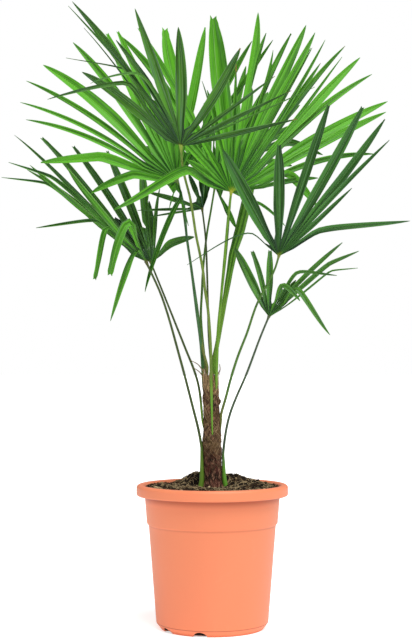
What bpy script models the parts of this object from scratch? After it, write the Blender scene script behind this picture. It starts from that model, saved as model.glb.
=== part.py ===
"""Potted Chinese windmill palm: pot, soil, trunk, petioles, one folded spear leaf and fan fronds.

Metres, +Z up. The origin is the centre of the pot's flat underside, and the plant is seen
from the front along +Y with +X to the right.
"""

import math
from collections import namedtuple

import bmesh
import bpy
from mathutils import Matrix, Vector

MM = 0.001
GAP = 0.3 * MM

# The view that the plant was measured in: a level camera in front of the pot, in a 412 x 640 frame.
FOCAL_PX = 1400.0
AXIS_PX = 212.3
HORIZON_PX = 357.0
EYE_DISTANCE = 2.218
EYE_HEIGHT = 0.428

# Pot, a 24 cm grower's pot with a rolled rim, a small step and a foot with two pairs of drain notches.
POT_SIDES = 48
POT_HEIGHT = 226.5 * MM
POT_WALL = 2.0 * MM
POT_FLOOR = 2.6 * MM
RIM_RADIUS = 120.0 * MM
RIM_DEPTH = 17.3 * MM
RIM_LIP = 3.2 * MM
RIM_ROUND = 5.0 * MM
RIM_CHAMFER = (1.2 * MM, 1.6 * MM)
COLLAR_DEPTH = 7.6 * MM
COLLAR_WIDTH = 1.6 * MM
NECK_RADIUS = 107.0 * MM
STEP_HEIGHT = 164.0 * MM
STEP_RADIUS = 103.4 * MM
STEP_WIDTH = 2.8 * MM
FOOT_HEIGHT = 9.2 * MM
FOOT_RADIUS = 88.6 * MM
BASE_RADIUS = 81.4 * MM
BASE_CHAMFER = (0.6 * MM, 0.9 * MM)
FLOOR_CHAMFER = 4.6 * MM
NOTCH_ANGLES = (-147.0, -103.0, 33.0, 77.0)
NOTCH_RADIUS = 12.0 * MM
NOTCH_DROP = 4.0 * MM
NOTCH_REACH = (72.0 * MM, 96.0 * MM)

# Soil, heaped behind the trunk and level under it.
GROUND = 222.2 * MM
SOIL_EDGE = 219.0 * MM
SOIL_LEVEL_RADIUS = 25.0 * MM
SOIL_EASE = 16.0 * MM
SOIL_CLEARANCE = 1.3 * GAP
SOIL_RINGS = 9
HEAPS = ((-26.0, 52.0, 30.0, 20.0), (34.0, 50.0, 34.0, 17.5), (72.0, 20.0, 26.0, 7.0))
CLODS = ((0.9, 41.0, 23.0), (0.7, 19.0, 33.0), (0.6, 13.0, 11.0))

# Trunk: radius up its height, with a flare at the soil and a slight lean to the left.
TRUNK_SIDES = 16
TRUNK_FOOT_X = 1.2 * MM
TRUNK_TOP_X = -2.8 * MM
TRUNK_PROFILE = (
    (0.0, 17.0), (7.0, 15.2), (20.0, 14.4), (48.0, 14.2), (80.0, 14.0),
    (96.0, 12.6), (124.0, 12.0), (160.0, 11.7), (172.0, 10.6), (177.0, 8.4),
)

# Blades. Widths are eased along a leaflet by the taper numbers, and a rib's curve by the tangents.
BLADE = 3.0 * MM
HUB_RADIUS = 6.0 * MM
THROAT_RADIUS = 16.0 * MM
HUB_HALF_WIDTH = 1.2 * MM
TIP_HALF_WIDTH = 1.3 * MM
LEAST_SLIT = 2.8 * MM
PLEAT = 0.16
WIDE_GAP = math.radians(26.0)
TAPER_POWER = 0.7
TAPER_START = 0.82
TAPER_GAIN = 0.5
BEND_TANGENT = 0.8
CREST_SHARE = 0.4
JOINED_SHARE = 0.8
DROOP = 0.25
LEAVING_TANGENT = 0.9
ARCH_TANGENT = 3.0
SPREAD_ROUNDS = 200
DIRECTION_STEP = 1.5 * MM
STRAIGHT_STATIONS = (0.42, 0.78, 1.0)
BENT_STATIONS = (0.18, 0.36, 0.52, 0.68, 0.84, 1.0)
PATH_SAMPLES = 24

# A bent leaflet's crest and tip as they are seen, and how far the tip comes forward. The crest
# comes forward by a share of that.
Bent = namedtuple("Bent", "crest tip forward")

# A frond: its hub as it is seen, the hub's depth, how its plane recedes to the right and upwards,
# the bearing of its middle as it is seen, the joined radius, the leaflets' width and arch, the least
# angle between ribs, straight leaflets' tips, and bent leaflets. Lengths are in mm, angles in degrees.
Frond = namedtuple("Frond", "hub depth lean axis joined width arch spacing tips bent colour")

DARK = (0.035, 0.16, 0.045)
MID = (0.06, 0.27, 0.035)
LIGHT = (0.11, 0.38, 0.05)

FRONDS = {
    "front": Frond(
        (181, 146), -105, (-0.45, -0.25), 95, 58, 19, 0.0, 7,
        ((82, 72), (72, 1), (115, 39), (135, 8), (178, 26), (239, 47), (275, 75), (291, 89), (296, 119)),
        (Bent((120, 82), (48, 99), 15), Bent((122, 70), (66, 58), -14), Bent((139, 72), (90, 84), 26)),
        DARK,
    ),
    "upper_right": Frond(
        (231, 192), -45, (0.45, 0.10), 75, 96, 14, 0.01, 6,
        ((138, 28), (212, 16), (258, 12), (266, 34), (273, 50), (291, 34), (306, 25), (315, 33),
         (325, 41), (321, 63), (340, 44), (354, 54), (367, 69), (381, 96), (374, 154), (318, 179),
         (318, 207), (193, 177)),
        (Bent((262, 205), (285, 226), 12),),
        LIGHT,
    ),
    "upper_left": Frond(
        (182, 185), 35, (-0.20, 0.20), 128, 84, 15, 0.05, 6,
        ((26, 119), (20, 101), (26, 80), (43, 64), (73, 41), (117, 32), (133, 80), (160, 70),
         (204, 27), (252, 41), (273, 40)),
        (Bent((98, 153), (40, 163), 10), Bent((133, 173), (91, 194), 24), Bent((150, 187), (113, 211), 30),
         Bent((157, 220), (145, 292), 56)),
        LIGHT,
    ),
    "back_high": Frond(
        (215, 187), 120, (0.0, 0.40), 88, 84, 14, 0.01, 7,
        ((160, 110), (161, 28), (169, 30), (186, 60), (202, 81), (222, 60), (246, 66), (268, 84),
         (311, 48), (300, 105), (236, 228), (180, 150)),
        (),
        LIGHT,
    ),
    "right": Frond(
        (279, 256), -90, (-0.35, -0.25), 80, 58, 17, 0.0, 7,
        ((222, 148), (279, 145), (326, 100), (357, 102), (378, 113), (383, 133), (389, 141), (352, 188)),
        (Bent((315, 229), (410, 221), 10), Bent((250, 233), (187, 265), 22)),
        DARK,
    ),
    "lower_right": Frond(
        (269, 317), -30, (-0.20, 0.30), 78, 40, 13, 0.0, 8,
        ((231, 248), (234, 260), (252, 250), (270, 248), (342, 242), (359, 251)),
        (Bent((330, 269), (358, 268), 16), Bent((298, 272), (337, 275), 26), Bent((280, 285), (300, 301), 36),
         Bent((296, 288), (330, 335), 48)),
        DARK,
    ),
    "left_front": Frond(
        (147, 262), -35, (-1.30, -1.50), 140, 46, 12, 0.0, 8,
        ((27, 169), (30, 165), (68, 168)),
        (Bent((47, 183), (1, 177), 0), Bent((59, 182), (8, 162), 0), Bent((92, 219), (36, 228), 10),
         Bent((107, 226), (95, 279), 14), Bent((131, 221), (110, 275), 0), Bent((139, 247), (110, 321), 6)),
        MID,
    ),
    "left_back": Frond(
        (151, 263), 50, (-0.10, 0.60), 112, 56, 12, 0.0, 8,
        ((15, 135), (42, 138), (73, 146), (107, 151), (142, 170), (149, 201), (157, 191), (130, 232)),
        (Bent((172, 240), (195, 237), 6),),
        DARK,
    ),
    "inner": Frond(
        (203, 209), 70, (0.10, 0.30), 130, 34, 10, 0.0, 9,
        ((138, 210), (156, 216), (151, 192), (192, 188), (200, 179), (211, 179)),
        (),
        DARK,
    ),
    "back_right": Frond(
        (236, 160), 175, (0.35, 0.95), 75, 74, 15, 0.01, 9,
        ((202, 128), (208, 112), (220, 98), (236, 90), (252, 88), (268, 92), (283, 101), (294, 116),
         (298, 134), (288, 152)),
        (),
        MID,
    ),
    "back_left": Frond(
        (172, 158), 168, (-0.45, 0.95), 100, 66, 15, 0.01, 9,
        ((141, 148), (138, 128), (146, 110), (158, 100), (172, 96), (186, 102), (194, 118)),
        (),
        MID,
    ),
}

# A petiole: points on its way as they are seen, below the hub, then how it meets the trunk.
# Beside the trunk it lies along the bark at one angle between two heights; on top it stands on the crown.
Beside = namedtuple("Beside", "angle upper lower")
OnTop = namedtuple("OnTop", "x y")
Petiole = namedtuple("Petiole", "way foot radius colour")

STALK = (0.16, 0.34, 0.05)
DARK_STALK = (0.06, 0.20, 0.04)

PETIOLES = {
    "front": Petiole(
        ((183, 169), (191, 200), (198, 238), (203.5, 271), (209, 315), (211, 345)),
        Beside(-92, 392, 300), 3.0, STALK,
    ),
    "upper_right": Petiole(
        ((228, 219), (225, 253), (221, 299), (218, 332)),
        Beside(-50, 386, 356), 3.0, STALK,
    ),
    "upper_left": Petiole(
        ((187, 202), (190, 246), (199, 307), (202, 345)),
        Beside(142, 388, 364), 3.1, DARK_STALK,
    ),
    "back_high": Petiole(
        ((212, 201), (209, 217), (206, 246), (203.5, 280), (203, 326)),
        Beside(114, 386, 364), 2.6, STALK,
    ),
    "right": Petiole(((274, 271), (258, 304), (248, 336), (235, 371)), Beside(-12, 350, 322), 2.6, STALK),
    "lower_right": Petiole(
        ((260, 338), (248, 376), (235, 412), (229, 432)),
        Beside(-2, 290, 223), 2.6, STALK,
    ),
    "left_front": Petiole(((163, 300), (181, 362), (194, 410)), Beside(-166, 304, 223), 2.8, STALK),
    "left_back": Petiole(((166, 300), (190, 355), (199, 388)), Beside(184, 350, 326), 2.5, STALK),
    "inner": Petiole(
        ((206, 246), (208, 280), (210, 309), (212.5, 340)),
        Beside(78, 386, 366), 2.4, DARK_STALK,
    ),
    "back_right": Petiole(
        ((231, 195), (226, 253), (221, 299), (217, 340)),
        OnTop(1.0, 7.4), 2.6, DARK_STALK,
    ),
    "back_left": Petiole(
        ((180, 190), (190, 246), (200, 307), (207, 350)),
        OnTop(-5.0, -1.6), 2.6, DARK_STALK,
    ),
}
HUB_SHRINK = 0.72
HUB_CLEARANCE = 1.5 * MM
HUB_SETBACK = 6.0 * MM
PETIOLE_STEP = 34.0 * MM
BARK_STEP = 12.0 * MM
DEPTH_EASE = 0.85
FULL_RADIUS_AT = 0.87
PETIOLE_SIDES = 8
BARK_CLEARANCE = 1.5 * GAP

# The spear leaf: points as they are seen, with a depth and a radius in mm at each.
SPEAR = (
    (264, 132, 36, 1.6), (258, 155, 36, 4.5), (252, 180, 36, 7.0), (246, 205, 35, 8.6), (240, 230, 33, 8.4),
    (233, 253, 28, 6.6), (229, 276, 22, 5.2), (224, 305, 14, 4.0), (219, 335, 6, 3.4),
)
SPEAR_FOOT = OnTop(4.2, -0.6)
SPEAR_FOOT_RADIUS = 3.1 * MM

POT_COLOUR = (0.95, 0.30, 0.13)
SOIL_COLOUR = (0.05, 0.035, 0.025)
BARK_COLOUR = (0.13, 0.075, 0.045)


def clear_scene():
    for obj in list(bpy.data.objects):
        bpy.data.objects.remove(obj, do_unlink=True)


def make_collection(name):
    collection = bpy.data.collections.new(name)
    bpy.context.scene.collection.children.link(collection)
    return collection


def make_material(name, colour, roughness):
    material = bpy.data.materials.new(name)
    material.use_nodes = True
    shader = material.node_tree.nodes["Principled BSDF"]
    shader.inputs["Base Color"].default_value = (*colour, 1.0)
    shader.inputs["Roughness"].default_value = roughness
    shader.inputs["Metallic"].default_value = 0.0
    return material


def add_object(name, mesh, collection, material):
    obj = bpy.data.objects.new(name, mesh)
    collection.objects.link(obj)
    mesh.materials.clear()
    mesh.materials.append(material)
    return obj


def mesh_from(name, points, faces):
    mesh = bpy.data.meshes.new(name)
    mesh.from_pydata([tuple(point) for point in points], [], faces)
    mesh.update()
    return mesh


def evaluated_mesh(obj):
    """The object's mesh with its modifiers applied; the object itself is removed."""
    depsgraph = bpy.context.evaluated_depsgraph_get()
    mesh = bpy.data.meshes.new_from_object(obj.evaluated_get(depsgraph))
    mesh.transform(obj.matrix_world)
    bpy.data.objects.remove(obj, do_unlink=True)
    return mesh


def seen_at(px, py, depth):
    """The point that is seen at a pixel and lies at this depth behind the pot's axis."""
    reach = EYE_DISTANCE + depth
    x = (px - AXIS_PX) * reach / FOCAL_PX
    z = EYE_HEIGHT - (py - HORIZON_PX) * reach / FOCAL_PX
    return Vector((x, depth, z))


def turned(name, profile, collection, material, sides):
    """A solid turned from a profile of (radius, height) that starts and ends on the axis."""
    points = [Vector((radius, 0.0, height)) for radius, height in profile]
    mesh = bpy.data.meshes.new(name)
    edges = [(i, i + 1) for i in range(len(points) - 1)]
    mesh.from_pydata([tuple(point) for point in points], edges, [])
    obj = add_object(name, mesh, collection, material)
    screw = obj.modifiers.new("turn", "SCREW")
    screw.steps = sides
    screw.render_steps = sides
    screw.use_merge_vertices = True
    screw.merge_threshold = 0.00001
    screw.use_smooth_shade = True
    return obj


def inner_wall(height):
    """Radius of the pot's inner face at a height."""
    outer = (
        (POT_FLOOR, FOOT_RADIUS - POT_WALL - FLOOR_CHAMFER),
        (FOOT_HEIGHT, FOOT_RADIUS - POT_WALL),
        (STEP_HEIGHT - STEP_WIDTH, STEP_RADIUS - STEP_WIDTH - POT_WALL),
        (STEP_HEIGHT + STEP_WIDTH, STEP_RADIUS - POT_WALL),
        (POT_HEIGHT - RIM_DEPTH, NECK_RADIUS - POT_WALL),
        (POT_HEIGHT, NECK_RADIUS),
    )
    for (low, low_radius), (high, high_radius) in zip(outer, outer[1:]):
        if height <= high:
            return low_radius + (high_radius - low_radius) * (height - low) / (high - low)
    return outer[-1][1]


def pot_profile():
    """From the middle of the inner floor, up the inner wall, over the rim and down the outside."""
    inside = [POT_FLOOR, FOOT_HEIGHT, STEP_HEIGHT - STEP_WIDTH, STEP_HEIGHT + STEP_WIDTH]
    profile = [(0.0, POT_FLOOR)] + [(inner_wall(height), height) for height in inside]
    profile.append((inner_wall(POT_HEIGHT - RIM_ROUND), POT_HEIGHT - RIM_ROUND))
    for degrees in (150, 110, 90):
        angle = math.radians(degrees)
        profile.append((
            NECK_RADIUS + RIM_ROUND + RIM_ROUND * math.cos(angle),
            POT_HEIGHT - RIM_ROUND + RIM_ROUND * math.sin(angle),
        ))
    for degrees in (90, 60, 30, 0):
        angle = math.radians(degrees)
        profile.append((
            RIM_RADIUS - RIM_ROUND + RIM_ROUND * math.cos(angle),
            POT_HEIGHT - RIM_ROUND + RIM_ROUND * math.sin(angle),
        ))
    lip_end = POT_HEIGHT - RIM_DEPTH
    profile += [
        (RIM_RADIUS, lip_end + RIM_CHAMFER[1]),
        (RIM_RADIUS - RIM_CHAMFER[0], lip_end),
        (RIM_RADIUS - RIM_LIP, lip_end),
        (RIM_RADIUS - RIM_LIP, POT_HEIGHT - COLLAR_DEPTH),
        (NECK_RADIUS + COLLAR_WIDTH, POT_HEIGHT - COLLAR_DEPTH),
        (NECK_RADIUS, lip_end),
        (STEP_RADIUS, STEP_HEIGHT + 0.5 * STEP_WIDTH),
        (STEP_RADIUS - STEP_WIDTH, STEP_HEIGHT - 0.5 * STEP_WIDTH),
        (FOOT_RADIUS, FOOT_HEIGHT),
        (BASE_RADIUS + BASE_CHAMFER[0], BASE_CHAMFER[1]),
        (BASE_RADIUS, 0.0),
        (0.0, 0.0),
    ]
    return profile


def make_pot(collection, cutters):
    material = make_material("pot_plastic", POT_COLOUR, 0.45)
    pot = turned("pot", pot_profile(), collection, material, POT_SIDES)
    start, end = NOTCH_REACH
    bm = bmesh.new()
    for angle in NOTCH_ANGLES:
        turn = Matrix.Rotation(math.radians(angle), 4, "Z")
        place = Matrix.Translation((0.5 * (start + end), 0.0, -NOTCH_DROP))
        lay = Matrix.Rotation(math.radians(90.0), 4, "Y")
        bmesh.ops.create_cone(
            bm, cap_ends=True, segments=24, radius1=NOTCH_RADIUS, radius2=NOTCH_RADIUS,
            depth=end - start, matrix=turn @ place @ lay,
        )
    mesh = bpy.data.meshes.new("drain_notches")
    bm.to_mesh(mesh)
    bm.free()
    cutter = add_object("drain_notches", mesh, cutters, material)
    cutter.hide_render = True
    cutter.display_type = "WIRE"
    cut = pot.modifiers.new("drain", "BOOLEAN")
    cut.operation = "DIFFERENCE"
    cut.object = cutter
    return pot


def soil_height(x, y):
    """Height of the soil's surface: level by the trunk, heaped behind it, lower at the rim."""
    radius = math.hypot(x, y)
    from_trunk = math.hypot(x - TRUNK_FOOT_X, y)
    away = min(max((from_trunk - SOIL_LEVEL_RADIUS) / SOIL_EASE, 0.0), 1.0)
    away = away * away * (3.0 - 2.0 * away)
    rise = 0.0
    for cx, cy, reach, height in HEAPS:
        distance = math.hypot(x / MM - cx, y / MM - cy) / reach
        rise += height * MM * math.exp(-distance * distance)
    for height, wave_x, wave_y in CLODS:
        across = math.sin(x / MM / wave_x * math.tau + 1.0)
        rise += height * MM * across * math.sin(y / MM / wave_y * math.tau)
    edge = min(radius / (NECK_RADIUS - POT_WALL), 1.0) ** 4
    return GROUND + away * (rise * (1.0 - edge) + (SOIL_EDGE - GROUND) * edge)


def make_soil(collection):
    material = make_material("potting_soil", SOIL_COLOUR, 0.95)
    low = POT_FLOOR + GAP
    walls = [FOOT_HEIGHT, STEP_HEIGHT - STEP_WIDTH, STEP_HEIGHT + STEP_WIDTH]
    rim = inner_wall(SOIL_EDGE) - SOIL_CLEARANCE
    profile = [(0.0, GROUND)]
    profile += [(rim * ring / SOIL_RINGS, GROUND) for ring in range(1, SOIL_RINGS)]
    profile.append((rim, SOIL_EDGE))
    profile += [(inner_wall(height) - SOIL_CLEARANCE, height) for height in reversed(walls)]
    profile += [(inner_wall(low) - SOIL_CLEARANCE, low), (0.0, low)]
    guide = turned("soil_guide", profile, collection, material, POT_SIDES)
    mesh = evaluated_mesh(guide)
    for vertex in mesh.vertices:
        if vertex.co.z > SOIL_EDGE + GAP:
            vertex.co.z = soil_height(vertex.co.x, vertex.co.y)
    mesh.name = "soil"
    return add_object("soil", mesh, collection, material)


def trunk_axis(height):
    """Where the trunk's middle is at a height, and its radius there."""
    above = (height - GROUND) / MM
    for (low, low_radius), (high, high_radius) in zip(TRUNK_PROFILE, TRUNK_PROFILE[1:]):
        if above <= high:
            share = max((above - low) / (high - low), 0.0)
            radius = (low_radius + (high_radius - low_radius) * share) * MM
            break
    else:
        radius = TRUNK_PROFILE[-1][1] * MM
    flare_top = TRUNK_PROFILE[1][0]
    lean = max(above - flare_top, 0.0) / (TRUNK_PROFILE[-1][0] - flare_top)
    return Vector((TRUNK_FOOT_X + (TRUNK_TOP_X - TRUNK_FOOT_X) * lean, 0.0, height)), radius


def limb(name, points, radii, sides, collection, material):
    """One tapering limb: a curve with a radius at each point and filled ends, made a mesh."""
    curve = bpy.data.curves.new(name, "CURVE")
    curve.dimensions = "3D"
    curve.bevel_depth = 1.0
    curve.bevel_resolution = (sides - 4) // 2
    curve.use_fill_caps = True
    spline = curve.splines.new("POLY")
    spline.points.add(len(points) - 1)
    for place, point, radius in zip(spline.points, points, radii):
        place.co = (*point, 1.0)
        place.radius = radius
    guide = bpy.data.objects.new(name + "_guide", curve)
    collection.objects.link(guide)
    mesh = evaluated_mesh(guide)
    bpy.data.curves.remove(curve)
    bm = bmesh.new()
    bm.from_mesh(mesh)
    bmesh.ops.remove_doubles(bm, verts=bm.verts, dist=0.01 * MM)
    bmesh.ops.recalc_face_normals(bm, faces=bm.faces)
    bm.to_mesh(mesh)
    bm.free()
    mesh.shade_smooth()
    mesh.set_sharp_from_angle(angle=math.radians(40.0))
    mesh.name = name
    return add_object(name, mesh, collection, material)


def make_trunk(collection):
    material = make_material("trunk_bark", BARK_COLOUR, 0.95)
    points = []
    radii = []
    for above, radius in TRUNK_PROFILE:
        middle, _ = trunk_axis(GROUND + above * MM)
        lift = GAP if above == 0.0 else 0.0
        points.append(middle + Vector((0.0, 0.0, lift)))
        radii.append(radius * MM)
    return limb("trunk", points, radii, TRUNK_SIDES, collection, material)


def fan_frame(frond):
    """The hub, the fan's facing direction, its middle direction and the direction to the left of it."""
    hub = seen_at(*frond.hub, frond.depth * MM)
    right, up = frond.lean
    normal = Vector((right, -1.0, up)).normalized()
    bearing = math.radians(frond.axis)
    across = math.cos(bearing)
    above = math.sin(bearing)
    middle = Vector((across, right * across + up * above, above)).normalized()
    return hub, normal, middle, normal.cross(middle)


def on_fan(frond, pixel):
    """The point of the frond's plane that is seen at a pixel."""
    hub = seen_at(*frond.hub, frond.depth * MM)
    right, up = frond.lean
    across = (pixel[0] - AXIS_PX) / FOCAL_PX
    above = (HORIZON_PX - pixel[1]) / FOCAL_PX
    level = hub.y - right * hub.x - up * (hub.z - EYE_HEIGHT)
    depth = level + (right * across + up * above) * EYE_DISTANCE
    return seen_at(*pixel, depth / (1.0 - right * across - up * above))


def hermite(start, start_tangent, end, end_tangent, t):
    """A point on the cubic that leaves start and reaches end along the given tangents."""
    t2 = t * t
    t3 = t2 * t
    return (
        start * (2.0 * t3 - 3.0 * t2 + 1.0) + start_tangent * (t3 - 2.0 * t2 + t)
        + end * (3.0 * t2 - 2.0 * t3) + end_tangent * (t3 - t2)
    )


def spread_apart(angles, least):
    """The sorted angles, with neighbours that lie too close pushed apart evenly."""
    angles = list(angles)
    for _ in range(SPREAD_ROUNDS):
        for i in range(len(angles) - 1):
            short = least - (angles[i] - angles[i + 1])
            if short > 0.0:
                angles[i] += 0.5 * short
                angles[i + 1] -= 0.5 * short
    return angles


class Rib:
    """A leaflet's midrib: straight from the hub through the joined part, then on to its tip."""

    def __init__(self, frond, frame, angle, stops):
        hub, _, middle, left = frame
        heading = middle * math.cos(angle) + left * math.sin(angle)
        self.angle = angle
        self.joined = frond.joined * MM
        self.bent = len(stops) == 2
        if self.bent:
            self.joined = min(self.joined, JOINED_SHARE * (stops[0] - hub).length)
        corner = hub + heading * self.joined
        straight = stops[0] - corner
        length = straight.length
        if self.bent:
            rest = stops[1] - stops[0]
            turn = (straight.normalized() + rest.normalized()).normalized() * BEND_TANGENT
            drop = (rest + Vector((0.0, 0.0, -DROOP * rest.length))).normalized()
            first = [
                hermite(corner, heading * length, stops[0], turn * length, i / PATH_SAMPLES)
                for i in range(PATH_SAMPLES)
            ]
            second = [
                hermite(stops[0], turn * rest.length, stops[1], drop * rest.length, i / PATH_SAMPLES)
                for i in range(PATH_SAMPLES + 1)
            ]
            self.path = first + second
        else:
            raised = Vector((0.0, 0.0, ARCH_TANGENT * frond.arch * length))
            leaving = heading * length * LEAVING_TANGENT + raised
            self.path = [
                hermite(corner, leaving, stops[0], straight - raised, i / PATH_SAMPLES)
                for i in range(PATH_SAMPLES + 1)
            ]
        self.hub = hub
        self.heading = heading
        self.reach = [0.0]
        for a, b in zip(self.path, self.path[1:]):
            self.reach.append(self.reach[-1] + (b - a).length)
        self.length = self.joined + self.reach[-1]

    def at(self, distance):
        """The point at a distance from the hub along the rib."""
        if distance <= self.joined:
            return self.hub + self.heading * distance
        beyond = distance - self.joined
        for i in range(len(self.path) - 1):
            if beyond < self.reach[i + 1]:
                share = (beyond - self.reach[i]) / (self.reach[i + 1] - self.reach[i])
                return self.path[i].lerp(self.path[i + 1], share)
        return self.path[-1]

    def along(self, distance):
        """The rib's direction at a distance from the hub."""
        ahead = self.at(min(distance + DIRECTION_STEP, self.length))
        behind = self.at(max(distance - DIRECTION_STEP, 0.0))
        return (ahead - behind).normalized()


def make_ribs(frond):
    """The frond's ribs from its left side to its right, spaced apart round the hub."""
    frame = fan_frame(frond)
    hub, _, middle, left = frame
    leaflets = [(on_fan(frond, tip),) for tip in frond.tips]
    for bent in frond.bent:
        depth = on_fan(frond, bent.crest).y
        leaflets.append(tuple(
            seen_at(*pixel, depth - share * bent.forward * MM)
            for pixel, share in ((bent.crest, CREST_SHARE), (bent.tip, 1.0))
        ))
    measured = []
    for stops in leaflets:
        ray = stops[0] - hub
        measured.append((math.atan2(ray.dot(left), ray.dot(middle)), stops))
    measured.sort(key=lambda item: -item[0])
    angles = spread_apart([angle for angle, _ in measured], math.radians(frond.spacing))
    return [Rib(frond, frame, angle, stops) for angle, (_, stops) in zip(angles, measured)]


def half_width(frond, share):
    """A leaflet's half width at a share of the way from the joined part to its tip."""
    full = 0.5 * frond.width * MM
    taper = (1.0 - share) ** TAPER_POWER * (TAPER_START + TAPER_GAIN * share)
    return max(full * taper, TIP_HALF_WIDTH)


def room_beside(rib, other, distance):
    """Half the distance to the next rib, less the slit between the two leaflets."""
    if other is None:
        return 1.0
    apart = (rib.at(distance) - other.at(min(distance, other.length))).length
    return max(0.5 * (apart - LEAST_SLIT), TIP_HALF_WIDTH)


def make_frond(name, frond, collection):
    """A pleated fan: leaflets that share their edges in the joined part and part beyond it."""
    ribs = make_ribs(frond)
    hub, normal, middle, left = fan_frame(frond)
    points = []
    faces = []

    def add(point):
        points.append(point)
        return len(points) - 1

    def edge_point(rib, distance, side, width):
        sideways = normal.cross(rib.along(distance)).normalized()
        lift = normal * (PLEAT * width)
        return rib.at(distance) + sideways * (side * width) + lift

    def valley_point(a, b, distance):
        between = 0.5 * (a.angle + b.angle)
        heading = middle * math.cos(between) + left * math.sin(between)
        half_gap = distance * math.sin(0.5 * (a.angle - b.angle))
        return hub + heading * distance + normal * (PLEAT * min(half_gap, 0.5 * frond.width * MM))

    valleys = []
    for a, b in zip(ribs, ribs[1:]):
        near = add(valley_point(a, b, HUB_RADIUS))
        throat = add(valley_point(a, b, THROAT_RADIUS))
        far = None
        if a.angle - b.angle < WIDE_GAP:
            far = add(valley_point(a, b, min(a.joined, b.joined)))
        valleys.append((near, throat, far))
    for i, rib in enumerate(ribs):
        stations = BENT_STATIONS if rib.bent else STRAIGHT_STATIONS
        free = rib.length - rib.joined
        distances = [rib.joined + share * free for share in stations]
        spine = [add(rib.at(d)) for d in [HUB_RADIUS, THROAT_RADIUS, rib.joined] + distances]
        edges = []
        for side, other_index, valley_index in ((1.0, i - 1, i - 1), (-1.0, i + 1, i)):
            other = ribs[other_index] if 0 <= other_index < len(ribs) else None
            near, throat, far = valleys[valley_index] if other is not None else (None, None, None)
            if near is None:
                near = add(edge_point(rib, HUB_RADIUS, side, HUB_HALF_WIDTH))
                throat = add(edge_point(rib, THROAT_RADIUS, side, 2.0 * HUB_HALF_WIDTH))
            if far is None:
                width = min(half_width(frond, 0.0), room_beside(rib, other, rib.joined))
                far = add(edge_point(rib, rib.joined, side, width))
            edge = [near, throat, far]
            for share, distance in zip(stations, distances):
                width = min(half_width(frond, share), room_beside(rib, other, distance))
                edge.append(add(edge_point(rib, distance, side, width)))
            edges.append(edge)
        for k in range(len(spine) - 1):
            faces.append((edges[0][k], edges[0][k + 1], spine[k + 1], spine[k]))
            faces.append((spine[k], spine[k + 1], edges[1][k + 1], edges[1][k]))
    mesh = mesh_from("frond_" + name, points, faces)
    material = make_material("blade_" + name, frond.colour, 0.55)
    obj = add_object("frond_" + name, mesh, collection, material)
    shell = obj.modifiers.new("blade", "SOLIDIFY")
    shell.thickness = BLADE
    shell.offset = 0.0
    return obj


def beside_trunk(angle, height, radius):
    """The middle of a limb of this radius that lies along the bark, a gap away."""
    middle, trunk_radius = trunk_axis(height)
    out = Vector((math.cos(angle), math.sin(angle), 0.0))
    return middle + out * (trunk_radius + radius + BARK_CLEARANCE)


def smooth_way(points, step):
    """Points about a step apart on a smooth curve through the given ones."""
    way = []
    last = len(points) - 1
    for i in range(last):
        before = points[max(i - 1, 0)]
        after = points[min(i + 2, last)]
        start_tangent = (points[i + 1] - before) * (0.5 if i else 1.0)
        end_tangent = (after - points[i]) * (0.5 if i + 1 < last else 1.0)
        count = max(1, round((points[i + 1] - points[i]).length / step))
        for k in range(count):
            way.append(hermite(points[i], start_tangent, points[i + 1], end_tangent, k / count))
    way.append(points[last])
    return way


def foot_points(foot, radius):
    """Where a limb meets the trunk, from above."""
    if isinstance(foot, OnTop):
        middle, _ = trunk_axis(GROUND + TRUNK_PROFILE[-1][0] * MM)
        base = middle + Vector((foot.x * MM, foot.y * MM, 2.0 * GAP))
        return [base + Vector((0.0, 0.0, BARK_STEP)), base]
    angle = math.radians(foot.angle)
    run = (foot.upper - foot.lower) * MM
    count = max(2, math.ceil(run / BARK_STEP))
    return [beside_trunk(angle, foot.upper * MM - run * i / count, radius) for i in range(count + 1)]


def make_petiole(name, petiole, collection):
    """A tapering stalk from its foot at the trunk up to its frond's hub."""
    frond = FRONDS[name]
    hub, _, middle, _ = fan_frame(frond)
    foot_radius = petiole.radius * MM
    foot = foot_points(petiole.foot, foot_radius)
    points = [hub + middle * (HUB_RADIUS - HUB_CLEARANCE)]
    for pixel in petiole.way:
        down = (hub.z - seen_at(*pixel, hub.y).z) / (hub.z - foot[0].z)
        depth = hub.y + (foot[0].y - hub.y) * down ** DEPTH_EASE
        points.append(seen_at(*pixel, depth + HUB_SETBACK * (1.0 - down)))
    way = smooth_way(points + foot[:1], PETIOLE_STEP) + foot[1:]
    end_radius = foot_radius * HUB_SHRINK
    total = sum((b - a).length for a, b in zip(way, way[1:]))
    radii = []
    run = 0.0
    for i, point in enumerate(way):
        if i:
            run += (point - way[i - 1]).length
        radii.append(end_radius + (foot_radius - end_radius) * min(run / total / FULL_RADIUS_AT, 1.0))
    material = make_material("stalk_" + name, petiole.colour, 0.5)
    return limb("petiole_" + name, way, radii, PETIOLE_SIDES, collection, material)


def make_spear(collection):
    material = make_material("spear_leaf", LIGHT, 0.5)
    points = [seen_at(px, py, depth * MM) for px, py, depth, _ in SPEAR]
    radii = [radius * MM for _, _, _, radius in SPEAR]
    for point in foot_points(SPEAR_FOOT, SPEAR_FOOT_RADIUS):
        points.append(point)
        radii.append(SPEAR_FOOT_RADIUS)
    return limb("spear_leaf", points, radii, PETIOLE_SIDES, collection, material)


def main():
    clear_scene()
    plant = make_collection("windmill_palm")
    cutters = make_collection("cutters")
    make_pot(plant, cutters)
    make_soil(plant)
    make_trunk(plant)
    make_spear(plant)
    for name, petiole in PETIOLES.items():
        make_petiole(name, petiole, plant)
    for name, frond in FRONDS.items():
        make_frond(name, frond, plant)


main()
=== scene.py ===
"""Potted Chinese windmill palm, dressed: leaflets, stalks, fibrous trunk, soil, pot and studio.

Metres, +Z up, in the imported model's own frame. The plant is seen from the front along +Y.
"""

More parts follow.
